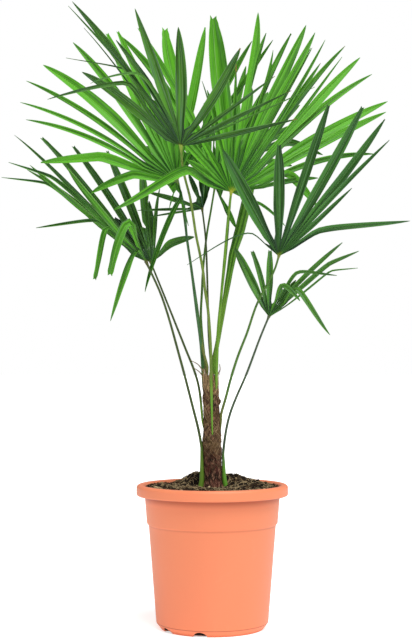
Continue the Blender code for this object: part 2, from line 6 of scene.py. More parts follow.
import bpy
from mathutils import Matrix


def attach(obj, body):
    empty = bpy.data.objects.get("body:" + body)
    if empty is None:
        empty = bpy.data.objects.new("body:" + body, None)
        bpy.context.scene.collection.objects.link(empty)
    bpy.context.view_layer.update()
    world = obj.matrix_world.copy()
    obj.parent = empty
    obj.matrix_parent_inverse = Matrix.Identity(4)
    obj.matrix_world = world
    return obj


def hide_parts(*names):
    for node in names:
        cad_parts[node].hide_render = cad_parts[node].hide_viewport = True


bl_info = {
    "name": "Potted windmill palm",
    "version": (1, 0, 0),
    "blender": (4, 5, 0),
    "location": "3D View > Sidebar > Palm",
    "description": "Builds a windmill palm in its pot, piece by piece, with its studio",
    "category": "Add Mesh",
}

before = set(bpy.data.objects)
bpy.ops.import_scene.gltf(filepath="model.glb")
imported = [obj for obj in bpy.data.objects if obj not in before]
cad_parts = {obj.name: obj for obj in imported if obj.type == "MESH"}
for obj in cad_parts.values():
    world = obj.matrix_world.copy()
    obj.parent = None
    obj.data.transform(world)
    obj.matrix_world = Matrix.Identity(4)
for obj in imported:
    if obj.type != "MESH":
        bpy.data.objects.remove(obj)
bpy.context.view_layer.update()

import math
import random
from collections import namedtuple

import bmesh
import bpy
from bpy.props import FloatProperty, FloatVectorProperty, IntProperty, PointerProperty
from mathutils import Matrix, Quaternion, Vector, noise

MM = 0.001
GAP = 0.3 * MM
# Points closer than this become one.
MERGE = 0.01 * MM
BODY = "root"

# The photograph's view: a level camera in front of the pot, in a 412 x 640 frame.
FRAME_PX = (412, 640)
FOCAL_PX = 1400.0
AXIS_PX = 212.3
HORIZON_PX = 357.0
EYE_DISTANCE = 2.218
EYE_HEIGHT = 0.428
EYE = Vector((0.0, -EYE_DISTANCE, EYE_HEIGHT))
SENSOR_MM = 36.0
ONE_PX = EYE_DISTANCE / FOCAL_PX

# Pot.
POT_HEIGHT = 226.5 * MM
POT_WALL = 2.0 * MM
POT_FLOOR = 2.6 * MM
RIM_RADIUS = 120.0 * MM
RIM_DEPTH = 17.3 * MM
RIM_LIP = 3.2 * MM
RIM_ROUND = 5.0 * MM
LIP_ROUND = 3.0 * MM
COLLAR_DEPTH = 7.6 * MM
COLLAR_WIDTH = 1.6 * MM
NECK_RADIUS = 107.0 * MM
STEP_HEIGHT = 164.0 * MM
STEP_RADIUS = 103.4 * MM
STEP_WIDTH = 2.8 * MM
FOOT_HEIGHT = 9.2 * MM
FOOT_RADIUS = 88.6 * MM
BASE_RADIUS = 81.4 * MM
BASE_CHAMFER = (0.6 * MM, 0.9 * MM)
FLOOR_CHAMFER = 4.6 * MM
NOTCH_ANGLES = (-147.0, -103.0, 33.0, 77.0)
NOTCH_RADIUS = 12.0 * MM
NOTCH_DROP = 4.0 * MM
NOTCH_REACH = (72.0 * MM, 96.0 * MM)
NOTCH_SIDES = 40
# Here and below: edges stay sharp where their faces meet at more than so many degrees.
POT_SHARP = 32.0

# Soil.
GROUND = 222.2 * MM
SOIL_EDGE = 219.0 * MM
SIDE_RISE = 4.6 * MM
SOIL_LEVEL_RADIUS = 25.0 * MM
SOIL_EASE = 16.0 * MM
SOIL_CLEARANCE = 1.3 * GAP
# Heaps: x, y, reach and height in mm. Clods: height in mm, and wave lengths along x and y.
HEAPS = ((-26.0, 52.0, 30.0, 20.0), (34.0, 50.0, 34.0, 17.5), (72.0, 20.0, 26.0, 7.0))
CLODS = ((0.9, 41.0, 23.0), (0.7, 19.0, 33.0), (0.6, 13.0, 11.0))
# Over these shares of the way to the pot's sides, the soil rises to SIDE_RISE above its edge.
SIDE_SPAN = (0.45, 0.95)
# Bumps in the surface: height and size in mm. They start beside the trunk and fade at the rim.
BUMPS = ((1.7, 9.0), (0.9, 4.0), (0.5, 1.9))
BUMP_START = (12.0 * MM, 24.0 * MM)
BUMP_END = (92.0 * MM, 105.0 * MM)
BUMP_LOSS = 0.6
BARE_RADIUS = 17.0 * MM
SOIL_SHARP = 60.0
# Strewn over the soil: how many to a square metre, least and greatest size in mm, detail, seed.
STREWN = {"soil_crumbs": (120000.0, 0.5, 1.5, 1, 3), "soil_lumps": (9000.0, 1.3, 3.4, 2, 8)}
CRUMB_SQUASH = ((0.6, 0.6, 0.45), (1.3, 1.1, 0.9))
CRUMB_TURN = ((0.0, 0.0, 0.0), (math.tau, math.tau, math.tau))
SQUASH_SEED = 5
TURN_SEED = 9
TONE_SEED = 21

# Straws on the soil, in mm: how far out, how long, how thick and how high they arch. They bend to
# either side by up to so many radians.
STRAW_OUT = (20.0, 100.0)
STRAW_LENGTH = (5.0, 24.0)
STRAW_RADIUS = (0.16, 0.60)
STRAW_RISE = (0.0, 2.0)
STRAW_BEND = 1.6
STRAW_THIN = 0.5
STRAW_POINTS = 8
STRAW_LIFT = 0.4 * MM
STRAW_INSET = 2.0 * MM
STRAW_SEED = 17

# Chips of wood on the soil: x and y in mm, heading, length and radius in mm.
CHIPS = (
    (-5.0, -22.0, 1.2, 7.0, 1.5), (-88.0, -22.0, 0.2, 6.0, 1.2), (58.0, -36.0, 2.4, 9.0, 0.9),
    (20.0, 60.0, 0.9, 8.0, 1.1), (-48.0, 44.0, 2.0, 7.0, 1.0),
)
CHIP_WIDTHS = (0.5, 0.9, 1.0, 0.8, 0.4)
CHIP_LIFT = 0.6

# Trunk.
TRUNK_FOOT_X = 1.2 * MM
TRUNK_TOP_X = -2.8 * MM
TRUNK_PROFILE = (
    (0.0, 17.0), (7.0, 15.2), (20.0, 14.4), (48.0, 14.2), (80.0, 14.0),
    (96.0, 12.6), (124.0, 12.0), (160.0, 11.7), (172.0, 10.6), (177.0, 8.4),
)
TRUNK_HEIGHT = TRUNK_PROFILE[-1][0]
TRUNK_TOP = GROUND + TRUNK_HEIGHT * MM
# Old leaf bases overlap like sleeves, so many mm apart, each with a ledge that stands out.
SLEEVE_PITCH = 31.0
LEDGE = 1.1
LEDGE_POWER = 1.6
LEDGE_INSET = 0.4
SLEEVE_WAVE = 0.12
# The bark's roughness: height in mm and how much finer than the first each wave is.
BARK_ROUGH = ((0.7, 1.0), (0.35, 3.1))
BARK_GRAIN = (4.0, 7.0)
# Near its foot and at its top the bark lies closer.
FOOT_EASE = 6.0
CROWN_EASE = (166.0, TRUNK_HEIGHT)
CROWN_LOSS = 0.6
# Stubs of old leaf bases: bearing, height above the soil, how far they stand out, how tall.
STUBS = (
    (0.0, 135.0, 3.4, 4.5), (0.12, 106.0, 2.6, 7.0), (2.7, 142.0, 1.8, 6.0), (-2.2, 92.0, 1.6, 8.0),
    (1.6, 120.0, 2.8, 6.0), (-1.1, 150.0, 1.4, 6.0), (3.0, 66.0, 1.4, 10.0), (1.0, 76.0, 2.2, 8.0),
)
STUB_SPREAD = 0.42

# Fibres round the trunk, in mm: between which heights they start and lie, their length, radius and
# lift, and how far loose ones stand off at their ends. The slope says how fast they run round.
FIBRE_START = (-2.0, TRUNK_HEIGHT - 8.0)
FIBRE_REACH = (0.5, TRUNK_HEIGHT - 1.0)
FIBRE_SLOPE = (0.35, 1.5)
FIBRE_LENGTH = (14.0, 46.0)
FIBRE_RADIUS = (0.14, 0.42)
FIBRE_LIFT = (0.0, 0.7)
FIBRE_LOOSE = (1.5, 3.5)
LOOSE_CHANCE = 0.12
FIBRE_CLIMB = 0.75
FIBRE_ROUND = 26.0
FIBRE_WAVE = 0.08
FIBRE_WAVES = 5.0
FIBRE_THIN = 0.55
FIBRE_POINTS = 10
FIBRE_SEED = 29
# The ragged straw at the trunk's top, in mm: where it starts, its length, its distance from the
# bark, how it spreads, how far past the top it ends, and its radius.
RAGGED_START = (TRUNK_HEIGHT - 32.0, TRUNK_HEIGHT - 8.0)
RAGGED_LENGTH = (10.0, 30.0)
RAGGED_OFF = (-1.0, 0.8)
RAGGED_SPREAD = (-2.4, 3.0)
RAGGED_END = (-2.0, 11.0)
RAGGED_RADIUS = (0.15, 0.5)
RAGGED_SLOPE = 0.5
RAGGED_STEP = 0.4
RAGGED_TONE = (0.4, 1.0)
RAGGED_THIN = 0.6
RAGGED_POINTS = 8
# Loose threads at the trunk's top: points on each as they are seen.
THREADS = (
    ((203, 371), (198, 364.5), (190, 360)), ((203.5, 377), (199, 371.5), (193, 367.5)),
    ((217, 376), (220, 370), (219.5, 364)), ((206, 374), (205.5, 369), (206.5, 364)),
)
THREAD_STEP = 2.0 * MM
THREAD_TONE = 0.25

# Blades: the joined part's rings, the fold, the taper and the curves that a leaflet follows.
HUB_RADIUS = 6.0 * MM
THROAT_RADIUS = 16.0 * MM
RING_STEP = 5.0 * MM
BLADE_START = 1.2 * MM
HUB_HALF_WIDTH = 0.5 * MM
TIP_HALF_WIDTH = 0.16 * MM
SLIT = 0.5 * MM
PLEAT = 0.6
PLEAT_REACH = 8.0 * MM
FOLD = 0.55
FOLD_EASE = 0.3
WAIST = 0.6
WAIST_END = 0.4
CLOSE = 0.6
OVERLAP = 1.6
OVERLAP_EASE = 24.0 * MM
TAPER_POWER = 4.0
TAPER_SPAN = 2.0
TAPER_ROUND = 0.72
BLUNT_END = 0.965
BLUNT_WIDTH = 0.5
NOTCH = 0.16
CREST_SHARE = 0.4
JOINED_SHARE = 0.36
LEAVING_TANGENT = 0.9
ARCH_TANGENT = 3.0
SPREAD_ROUNDS = 200
DIRECTION_STEP = 1.5 * MM
PATH_SAMPLES = 24
FREE_STATIONS = 22
STATION_EASE = 1.25
TWIST = math.radians(9.0)
TWIST_CHANCE = math.radians(8.0)
# A bent leaflet turns its face this way over this part of its length.
TOWARDS = Vector((0.0, -1.0, 0.25))
TURN_SPAN = (0.12, 0.45)
TIP_WANDER = 5.0 * MM
BLUNT_STEP = 0.75
TWIST_END = 0.6
JOINED_SLACK = 0.1 * MM
BOW_SCALE = 0.004
BLADE_JOINT = 0.02 * MM
BLADE_SHARP = 50.0
SHEET_SHARP = 180.0
LIMB_SHARP = 50.0
LIMB_MERGE = 0.002 * MM

# A leaflet: its tip as it is seen and its width in mm, then what sets it apart. Its tone runs from
# -1, dark, to 1, bright, and its end from -1, drawn out, to 1, cut off and forked. The rest says
# how much of it is dry, where it bends, how far its tip comes forward, how much it droops, how
# many pixels its outer part bows to the right of its way, and how round its bend is.
Leaf = namedtuple(
    "Leaf", "tip wide tone blunt dry crest forward droop bow bend",
    defaults=(0.0, 0.0, 0.0, None, 0.0, 0.25, 0.0, 0.8),
)


def leaf(x, y, wide, *more, **rest):
    return Leaf((x, y), wide, *more, **rest)


# A frond: its hub as it is seen, the hub's depth, how its plane recedes to the right and upwards,
# the bearing of its middle, the joined radius, the arch, the least angle between ribs, its hue and
# its leaflets.
Frond = namedtuple("Frond", "hub depth lean axis joined arch spacing hue leaves")

FRONDS = {
    "front": Frond(
        (181, 146), -105, (-0.45, -0.25), 95, 28, 0.0, 5.5, "dark",
        (
            leaf(82, 72, 16.5, 0.0, -0.1, bow=4.5), leaf(72.3, 1.5, 21, 0.0, -1.2, bow=3.5),
            leaf(84, 28, 3, -0.4, -1.0, bow=2.5), leaf(116, 40, 11, -0.8, -0.2, bow=2.5),
            leaf(135, 8.5, 18, 0.4, -0.9), leaf(178.4, 27, 20, 0.1, -0.3, bow=2.7),
            leaf(240.5, 48, 15, 0.0, 0.3, 0.1, bow=3.0), leaf(275, 76, 8.5, -0.3, -1.3, 0.10),
            leaf(291.4, 90.6, 9, -0.4, -1.3, 0.14), leaf(297, 119, 9.5, -0.4, -0.9, 0.16),
            leaf(315, 87, 3, 0.9, -1.0),
            leaf(68.3, 6, 6, -0.5, -0.8, crest=(117, 60), forward=6, droop=0.0),
            leaf(47.5, 99.5, 8, -0.1, -0.4, crest=(127, 83.5), forward=15, bow=-2.5, bend=0.5),
            leaf(66, 58, 4, -0.5, -1.0, crest=(124, 69.5), forward=-14, droop=0.0, bend=0.3),
            leaf(90.5, 83.5, 5.5, 0.9, -0.5, crest=(139, 74.5), forward=26, bend=0.5),
        ),
    ),
    "upper_right": Frond(
        (231, 192), -45, (0.45, 0.10), 75, 56, 0.01, 3.6, "light",
        (
            leaf(138, 28, 15, 0.5, 0.7), leaf(150, 98, 14, 0.1), leaf(170, 128, 14, 0.3),
            leaf(186, 160, 14, 0.1), leaf(212.4, 16, 33, 0.4, 0.9, bow=-1.8),
            leaf(207, 90, 12, 0.2, -0.2), leaf(236, 64, 9, -0.6, -1.0, 0.3),
            leaf(258, 12.5, 20, 0.5, -0.1, bow=3.2), leaf(266, 33, 12, -0.6, 0.2, bow=-5.0),
            leaf(273, 50, 12, -0.6, -0.9, bow=4.0), leaf(291, 33.5, 10.5, -0.8, 0.6, bow=-4.0),
            leaf(306, 25, 20, 0.4, 0.0, bow=0.3), leaf(315, 32.5, 16, 0.2, -0.3, bow=1.5),
            leaf(312, 48, 9, -0.8, -0.8), leaf(325, 40, 8, -0.2, -0.3, bow=2.5),
            leaf(320.5, 63, 12, 0.3, -0.5, 0.1), leaf(345, 46, 11, -0.5, -0.2, 0.08, bow=-4.5),
            leaf(342, 57, 8, 0.3, -1.0, bow=1.0), leaf(360, 57.5, 17, 0.8, 0.1, bow=-2.5),
            leaf(371.8, 74.3, 13, 0.2, -0.3, bow=-7.0), leaf(387.5, 101.5, 17, 0.8, -0.1, bow=-2.5),
            leaf(386, 112, 15, 0.5, -0.1, bow=-1.5), leaf(374, 154, 10, -0.4, 0.2, bow=-8.0),
            leaf(318, 178, 9, -0.7, 0.2, bow=-1.5),
            leaf(318, 207, 17, 0.9, -0.4, crest=(290, 176), bend=0.6, droop=0.0),
            leaf(
                113.5, 210, 16, 0.2, -0.4,
                crest=(186, 171), forward=72, droop=0.0, bow=-2.0, bend=0.6,
            ),
            leaf(285, 226, 5, -0.3, crest=(262, 205), forward=12),
        ),
    ),
    "upper_left": Frond(
        (177, 181), 35, (-0.20, 0.20), 128, 60, 0.03, 4, "light",
        (
            leaf(26, 119.8, 9.5, 0.2, bow=4.0), leaf(20.4, 102.5, 8.5, 0.2, bow=3.5),
            leaf(26.3, 81, 10, 0.1, bow=3.2), leaf(43, 65, 21, 0.5, bow=3.0),
            leaf(73, 42.6, 16, 0.2, 0.1, bow=1.6), leaf(107, 33.5, 16, 1.0, 0.8, bow=-1.5),
            leaf(117.6, 31.5, 14, 1.0, 0.8), leaf(133, 78, 14, 0.0), leaf(158, 72, 14, 0.3),
            leaf(181, 92, 14, 0.0), leaf(205.2, 27.3, 15, 0.9, 0.4, bow=1.0),
            leaf(252, 41, 12, -0.2), leaf(273, 40, 9, -0.5, 0.1, bow=1.5),
            leaf(169.5, 208, 3, 0.0, -0.5), leaf(188.5, 226, 2.6, 0.0, -0.5),
            leaf(
                40.5, 162.8, 19, 0.8, 0.3,
                crest=(100, 158.2), forward=10, droop=0.1, bow=-1.5, bend=0.5,
            ),
            leaf(90.6, 193.5, 15, 0.4, 0.1, crest=(133, 175.5), forward=24, bow=-1.0, bend=0.6),
            leaf(
                145, 292, 9.5, -1.0, -0.2,
                crest=(180, 200), forward=56, droop=0.0, bow=3.5, bend=0.5,
            ),
        ),
    ),
    "back_high": Frond(
        (215, 187), 120, (0.0, 0.40), 88, 70, 0.01, 6, "light",
        (
            leaf(160, 110, 14, 0.0), leaf(164.6, 28.5, 26, 1.0, 1.0, bow=-9.0),
            leaf(188, 104, 14, 0.0), leaf(119, 35, 17, 0.1, -0.3, bow=8.5), leaf(204, 103, 14, 0.0),
            leaf(202, 81, 4, -0.7, -0.6, bow=3.0), leaf(222, 60, 17, 0.1), leaf(246, 66, 14, 0.0),
            leaf(268, 84, 13, -0.2), leaf(311, 48, 10, -0.2), leaf(300, 105, 13, -0.2),
            leaf(236, 228, 9.5, -0.8), leaf(180, 150, 12, 0.0),
        ),
    ),
    "right": Frond(
        (279, 256), -90, (-0.35, -0.25), 80, 24, 0.0, 5, "blue",
        (
            leaf(222.5, 149, 21, 0.2, -0.2), leaf(279, 144, 17, -0.1, 0.9),
            leaf(329, 104.5, 14, -0.1, 0.9), leaf(363, 106.5, 15, 0.2, 0.9, bow=1.5),
            leaf(385, 119, 13.5, 0.4, 0.3, 0.05, bow=1.8), leaf(389.5, 140, 8, 0.4, -0.3, bow=-1.5),
            leaf(352, 188, 8, 0.4, -0.5),
            leaf(
                410, 221, 10, 0.2, -0.4,
                crest=(318, 231), forward=10, droop=0.0, bow=0.5, bend=0.5,
            ),
            leaf(187, 265, 2.4, -0.2, -0.8, crest=(250, 233), forward=22, bow=-2.0),
        ),
    ),
    "lower_right": Frond(
        (269, 317), -30, (-0.20, 0.30), 78, 20, 0.0, 5.5, "dark",
        (
            leaf(235, 248.5, 14, 0.1, 0.9), leaf(252, 251, 8.5, 0.0, 1.5, bow=1.8),
            leaf(270, 250, 11, 0.2, 1.2), leaf(296, 280, 9, -0.5),
            leaf(342.5, 242.6, 8, 0.0, 0.4, bow=-2.0),
            leaf(359, 251, 8, 0.4, 0.1, crest=(329, 264), droop=0.0, bend=0.4),
            leaf(358, 268, 3.5, 0.8, -0.2, crest=(331, 271), forward=16, droop=0.0, bend=0.3),
            leaf(337, 275.5, 6, 0.0, -0.2, crest=(297, 272.8), forward=26, droop=0.0, bend=0.5),
            leaf(300, 301, 9, 0.7, crest=(282.5, 286), forward=36, bend=0.5),
            leaf(
                330, 335, 9, 0.7, -0.2,
                crest=(296, 289), forward=48, droop=0.0, bow=1.0, bend=0.4,
            ),
        ),
    ),
    "left_front": Frond(
        (147, 262), -35, (-1.30, -1.50), 140, 26, 0.0, 5.2, "fresh",
        (
            leaf(27, 169.5, 13, -0.5, bow=7.5), leaf(30, 165, 13, -0.3, bow=1.0),
            leaf(68, 168.5, 16.5, 0.1, 0.6),
            leaf(1.5, 177.5, 7, -0.9, -0.4, crest=(47, 184), droop=0.0, bend=0.4),
            leaf(8.5, 162.3, 9, -0.9, -0.8, crest=(52, 177.5), droop=0.0, bend=0.4),
            leaf(36, 228, 6.5, -1.0, 0.3, crest=(96, 221), forward=10, droop=0.0, bend=0.3),
            leaf(
                94.5, 280, 9, 0.1, 1.5,
                crest=(107, 228), forward=14, droop=0.0, bow=-0.5, bend=0.3,
            ),
            leaf(110, 276, 13, 0.4, 1.5, crest=(129, 223), bow=1.0, bend=0.4),
            leaf(
                110.5, 321, 11, 0.2, -0.8,
                crest=(139, 249), forward=6, droop=0.0, bow=1.0, bend=0.3,
            ),
        ),
    ),
    "left_back": Frond(
        (151, 263), 50, (-0.10, 0.60), 112, 28, 0.0, 6.5, "dark",
        (
            leaf(14.5, 135.3, 11, -0.4, -1.0, bow=4.0), leaf(41.5, 138, 11.5, 0.0, 1.2, bow=3.4),
            leaf(73, 146.5, 13, -0.4, 1.0, bow=1.8), leaf(107, 151, 15, -0.3, 0.8),
            leaf(142, 169, 16, 0.2, 1.0, bow=-1.0), leaf(149, 201, 11, -0.5, 0.3, 0.12),
            leaf(160, 188, 7, 0.3, -0.4, bow=-2.5), leaf(114, 218, 17, -1.6, 0.8),
            leaf(130, 226, 14, -1.6), leaf(145, 227, 21, -0.3, 1.4),
            leaf(194.5, 237, 14, 0.0, -0.2, crest=(171, 244), forward=6, droop=0.1, bend=0.5),
        ),
    ),
    "inner": Frond(
        (203, 209), 70, (0.10, 0.30), 130, 18, 0.0, 7, "dark",
        (
            leaf(137.5, 210.5, 5.5, -0.2, -0.5), leaf(150, 217, 4.5, -0.1, -0.5),
            leaf(148, 192.5, 10, 0.0, -0.3, bow=0.3), leaf(188.5, 174, 9.5, -0.9),
            leaf(206, 160, 21, -1.4, 0.5),
        ),
    ),
    "back_right": Frond(
        (236, 160), 175, (0.35, 0.95), 75, 62, 0.01, 8, "fresh",
        tuple(leaf(x, y, 16, tone) for x, y, tone in (
            (202, 128, 0.0), (208, 112, 0.2), (220, 98, -0.2), (236, 90, 0.3), (252, 88, 0.0),
            (268, 92, 0.2), (283, 101, -0.1), (300, 124, -0.7), (292, 166, -0.4),
        )) + (leaf(323, 155, 15, -1.0, crest=(290, 143), droop=0.0, bend=0.6),),
    ),
    "back_left": Frond(
        (172, 158), 168, (-0.45, 0.95), 100, 56, 0.01, 8, "fresh",
        tuple(leaf(x, y, 16, tone) for x, y, tone in (
            (141, 148, -0.1), (138, 128, 0.2), (146, 110, 0.0), (158, 100, 0.2), (172, 96, -0.2),
            (186, 102, 0.1), (194, 118, 0.0),
        )),
    ),
}

# A stalk: points on its way as they are seen, how it meets the trunk, and its radius in mm.
Beside = namedtuple("Beside", "angle upper lower")
OnTop = namedtuple("OnTop", "x y")
Petiole = namedtuple("Petiole", "way foot radius hue")

PETIOLES = {
    "front": Petiole(
        (
            (183, 169), (190.5, 200), (196, 235), (199.5, 252), (203, 271), (205, 290),
            (208, 310), (210.5, 345),
        ),
        Beside(-87, 392, 306), 3.0, "straw",
    ),
    "upper_right": Petiole(
        ((228, 219), (225, 253), (221, 299), (218, 332)), Beside(-50, 394, 376), 3.0, "green",
    ),
    "upper_left": Petiole(
        ((184, 206), (186.5, 235), (191.5, 270), (196.5, 310), (201, 345)),
        Beside(142, 388, 364), 3.1, "jade",
    ),
    "back_high": Petiole(
        ((211, 210), (206.5, 237), (203, 270), (202, 290), (201, 320)),
        Beside(114, 386, 364), 2.6, "dull",
    ),
    "right": Petiole(
        ((274, 271), (257, 304), (247, 333), (238, 356), (231, 378), (226, 397)),
        Beside(-12, 336, 310), 2.6, "dull",
    ),
    "lower_right": Petiole(
        ((260, 338), (246.5, 374), (236, 398), (230, 414), (226, 431)),
        Beside(-2, 276, 223), 2.6, "blue",
    ),
    "left_front": Petiole(
        ((163, 300), (181, 362), (193, 408), (198.5, 430)), Beside(-166, 284, 223), 2.8, "olive",
    ),
    "left_back": Petiole(
        ((166, 300), (186, 350), (194, 370), (199, 388)), Beside(184, 338, 316), 2.5, "olive",
    ),
    "inner": Petiole(
        ((205.5, 237), (207, 270), (208, 309), (209, 340)), Beside(78, 386, 366), 2.4, "olive",
    ),
    "back_right": Petiole(
        ((231, 195), (226, 253), (221, 299), (217, 340)), OnTop(1.0, 7.4), 2.6, "dull",
    ),
    "back_left": Petiole(
        ((180, 190), (188, 246), (197, 307), (203, 350)), OnTop(-5.0, -1.6), 2.6, "dull",
    ),
}
HUB_SHRINK = 0.72
HUB_START = 2.5 * MM
HUB_SETBACK = 6.0 * MM
STALK_STEP = 7.0 * MM
BARK_STEP = 12.0 * MM
DEPTH_EASE = 0.85
FULL_RADIUS_AT = 0.87
BARK_CLEARANCE = 1.5 * GAP
SINK = 0.16
FLARE = 0.9
THIN = 0.55
SLIM = 0.82
KNUCKLE = 0.9
KNUCKLE_END = 0.028
SOIL_REACH = 5.0 * MM

# The spear leaf: points as they are seen, with a depth and a radius in mm at each.
SPEAR = (
    (264, 132, 36, 1.0), (258, 155, 36, 4.5), (252, 180, 36, 7.0), (246, 205, 35, 8.6),
    (240, 230, 33, 8.4), (233, 253, 28, 6.6), (229, 276, 22, 5.2), (224, 305, 14, 4.0),
    (219, 335, 6, 3.4),
)
SPEAR_FOOT = OnTop(4.2, -0.6)
SPEAR_FOOT_RADIUS = 3.1 * MM
SPEAR_ROWS = 90
SPEAR_SIDES = 56
SPEAR_PLEATS = 7.0
SPEAR_TURN = 3.0
SPEAR_PLEAT = 0.16
SPEAR_FLAT = 0.85
SPEAR_SHARP = 60.0
SPEAR_MERGE = 0.001 * MM
# Over these shares of its length the pleats give way to the round stalk.
SPEAR_STALK = (0.55, 0.75)

# Studio: the floor's reach, how bright it looks and how much of that lights the plant, and the
# soft light's bearing, height and spread in degrees.
FLOOR_REACH = 30.0
FLOOR_SIDES = 96
FLOOR_GLOW = 0.62
FLOOR_LIGHT = 0.355
KEY_BEARING = 30.0
KEY_HEIGHT = 62.0
KEY_SPREAD = 36.0
KEY_DISTANCE = 3.0


def screen(red, green, blue):
    """A colour as a screen shows it, from 0 to 255, in linear values."""
    return tuple(
        channel / 255.0 / 12.92 if channel < 11 else ((channel / 255.0 + 0.055) / 1.055) ** 2.4
        for channel in (red, green, blue)
    ) + (1.0,)


# Blade colours as a screen shows them: deep, bright, a painted grey sheen for the white surround's
# reflection, rib and hub, and how much of the painted sheen there is.
HUES = {
    "dark": ((10, 42, 0), (90, 152, 48), (94, 130, 104), (158, 196, 134), (84, 104, 34), 0.9),
    "light": ((10, 62, 0), (100, 182, 42), (112, 168, 104), (160, 212, 116), (168, 176, 40), 0.35),
    "blue": ((4, 34, 0), (76, 134, 56), (86, 126, 94), (152, 192, 140), (138, 160, 40), 0.6),
    "fresh": ((8, 52, 0), (102, 182, 46), (104, 154, 108), (168, 212, 130), (130, 140, 54), 0.45),
}
DRY = (screen(110, 92, 48), screen(166, 142, 84))
# Stalk colours: dark, light, at the top and at the foot.
STALKS = {
    "green": ((50, 104, 6), (134, 182, 54), (190, 192, 60), (112, 156, 48)),
    "straw": ((62, 92, 20), (134, 160, 66), (144, 168, 60), (104, 168, 42)),
    "jade": ((32, 72, 34), (92, 138, 86), (104, 130, 64), (74, 132, 50)),
    "dull": ((32, 76, 16), (100, 146, 54), (126, 134, 60), (120, 120, 56)),
    "olive": ((30, 52, 14), (88, 108, 52), (92, 92, 46), (112, 156, 44)),
    "blue": ((36, 56, 34), (92, 114, 84), (92, 104, 66), (110, 180, 44)),
}


# Node trees.


class Socket:
    """A node's output. Arithmetic on it adds Math nodes to its tree."""

    def __init__(self, graph, socket):
        self.graph = graph
        self.socket = socket

    def __add__(self, other):
        return self.graph.math("ADD", self, other)

    def __sub__(self, other):
        return self.graph.math("SUBTRACT", self, other)

    def __rsub__(self, other):
        return self.graph.math("SUBTRACT", other, self)

    def __mul__(self, other):
        return self.graph.math("MULTIPLY", self, other)

    def __abs__(self):
        return self.graph.math("ABSOLUTE", self)

    __radd__ = __add__
    __rmul__ = __mul__


class Graph:
    """A node tree that grows by one method, and by arithmetic on its sockets."""

    def __init__(self, tree):
        self.tree = tree

    def add(self, kind, settings=None, values=None, output=0):
        """A node: its settings first, then its sockets' values or links. Gives one output."""
        node = self.tree.nodes.new(kind)
        for name, value in (settings or {}).items():
            setattr(node, name, value)
        sockets = [socket for socket in node.inputs if socket.enabled]
        named = {socket.name: socket for socket in reversed(sockets)}
        for key, value in (values or {}).items():
            socket = sockets[key] if isinstance(key, int) else named[key]
            if isinstance(value, Socket):
                self.tree.links.new(value.socket, socket)
            else:
                socket.default_value = value
        return Socket(self, [socket for socket in node.outputs if socket.enabled][output])

    def math(self, operation, *values):
        return self.add("ShaderNodeMath", {"operation": operation}, dict(enumerate(values)))

    def vector(self, operation, *values):
        return self.add("ShaderNodeVectorMath", {"operation": operation}, dict(enumerate(values)))

    def smooth(self, value, low, high):
        """0 below low, 1 above high and eased between."""
        return self.add(
            "ShaderNodeMapRange", {"interpolation_type": "SMOOTHSTEP"},
            {"Value": value, "From Min": low, "From Max": high},
        )


class Finish(Graph):
    """A material's tree round one Principled shader."""

    def __init__(self, name, roughness, specular):
        self.material = bpy.data.materials.new(name)
        self.material.use_nodes = True
        super().__init__(self.material.node_tree)
        self.shader = self.tree.nodes["Principled BSDF"]
        self.shader.inputs["Roughness"].default_value = roughness
        self.shader.inputs["Specular IOR Level"].default_value = specular

    def place(self):
        return self.add("ShaderNodeTexCoord", output=3)

    def uv(self, name):
        """The two parts of a UV map."""
        point = self.add("ShaderNodeUVMap", {"uv_map": name})
        return [self.add("ShaderNodeSeparateXYZ", None, {0: point}, part) for part in (0, 1)]

    def attribute(self, name):
        return self.add("ShaderNodeAttribute", {"attribute_name": name}, output=2)

    def noise(self, scale, detail=2.0, vector=None, roughness=0.5, stretch=None):
        place = vector or self.place()
        if stretch:
            place = self.vector("MULTIPLY", place, stretch)
        return self.add(
            "ShaderNodeTexNoise", None,
            {"Vector": place, "Scale": scale, "Detail": detail, "Roughness": roughness},
        )

    def wave(self, angle):
        """A sine wave between 0 and 1."""
        return self.math("SINE", angle) * 0.5 + 0.5

    def mix(self, factor, first, second):
        settings = {"data_type": "RGBA", "clamp_factor": True}
        return self.add("ShaderNodeMix", settings, {0: factor, 1: first, 2: second})

    def layered(self, colour, *layers):
        """The colour with others laid over it, each as far as its mask says."""
        for mask, over in layers:
            colour = self.mix(mask, colour, over)
        return colour

    def bump(self, height, distance, strength):
        values = {"Height": height, "Distance": distance, "Strength": strength}
        return self.add("ShaderNodeBump", None, values)

    def feed(self, **links):
        """Links to the shader's own sockets. Returns the material."""
        for name, value in links.items():
            self.tree.links.new(value.socket, self.shader.inputs[name.replace("_", " ")])
        return self.material


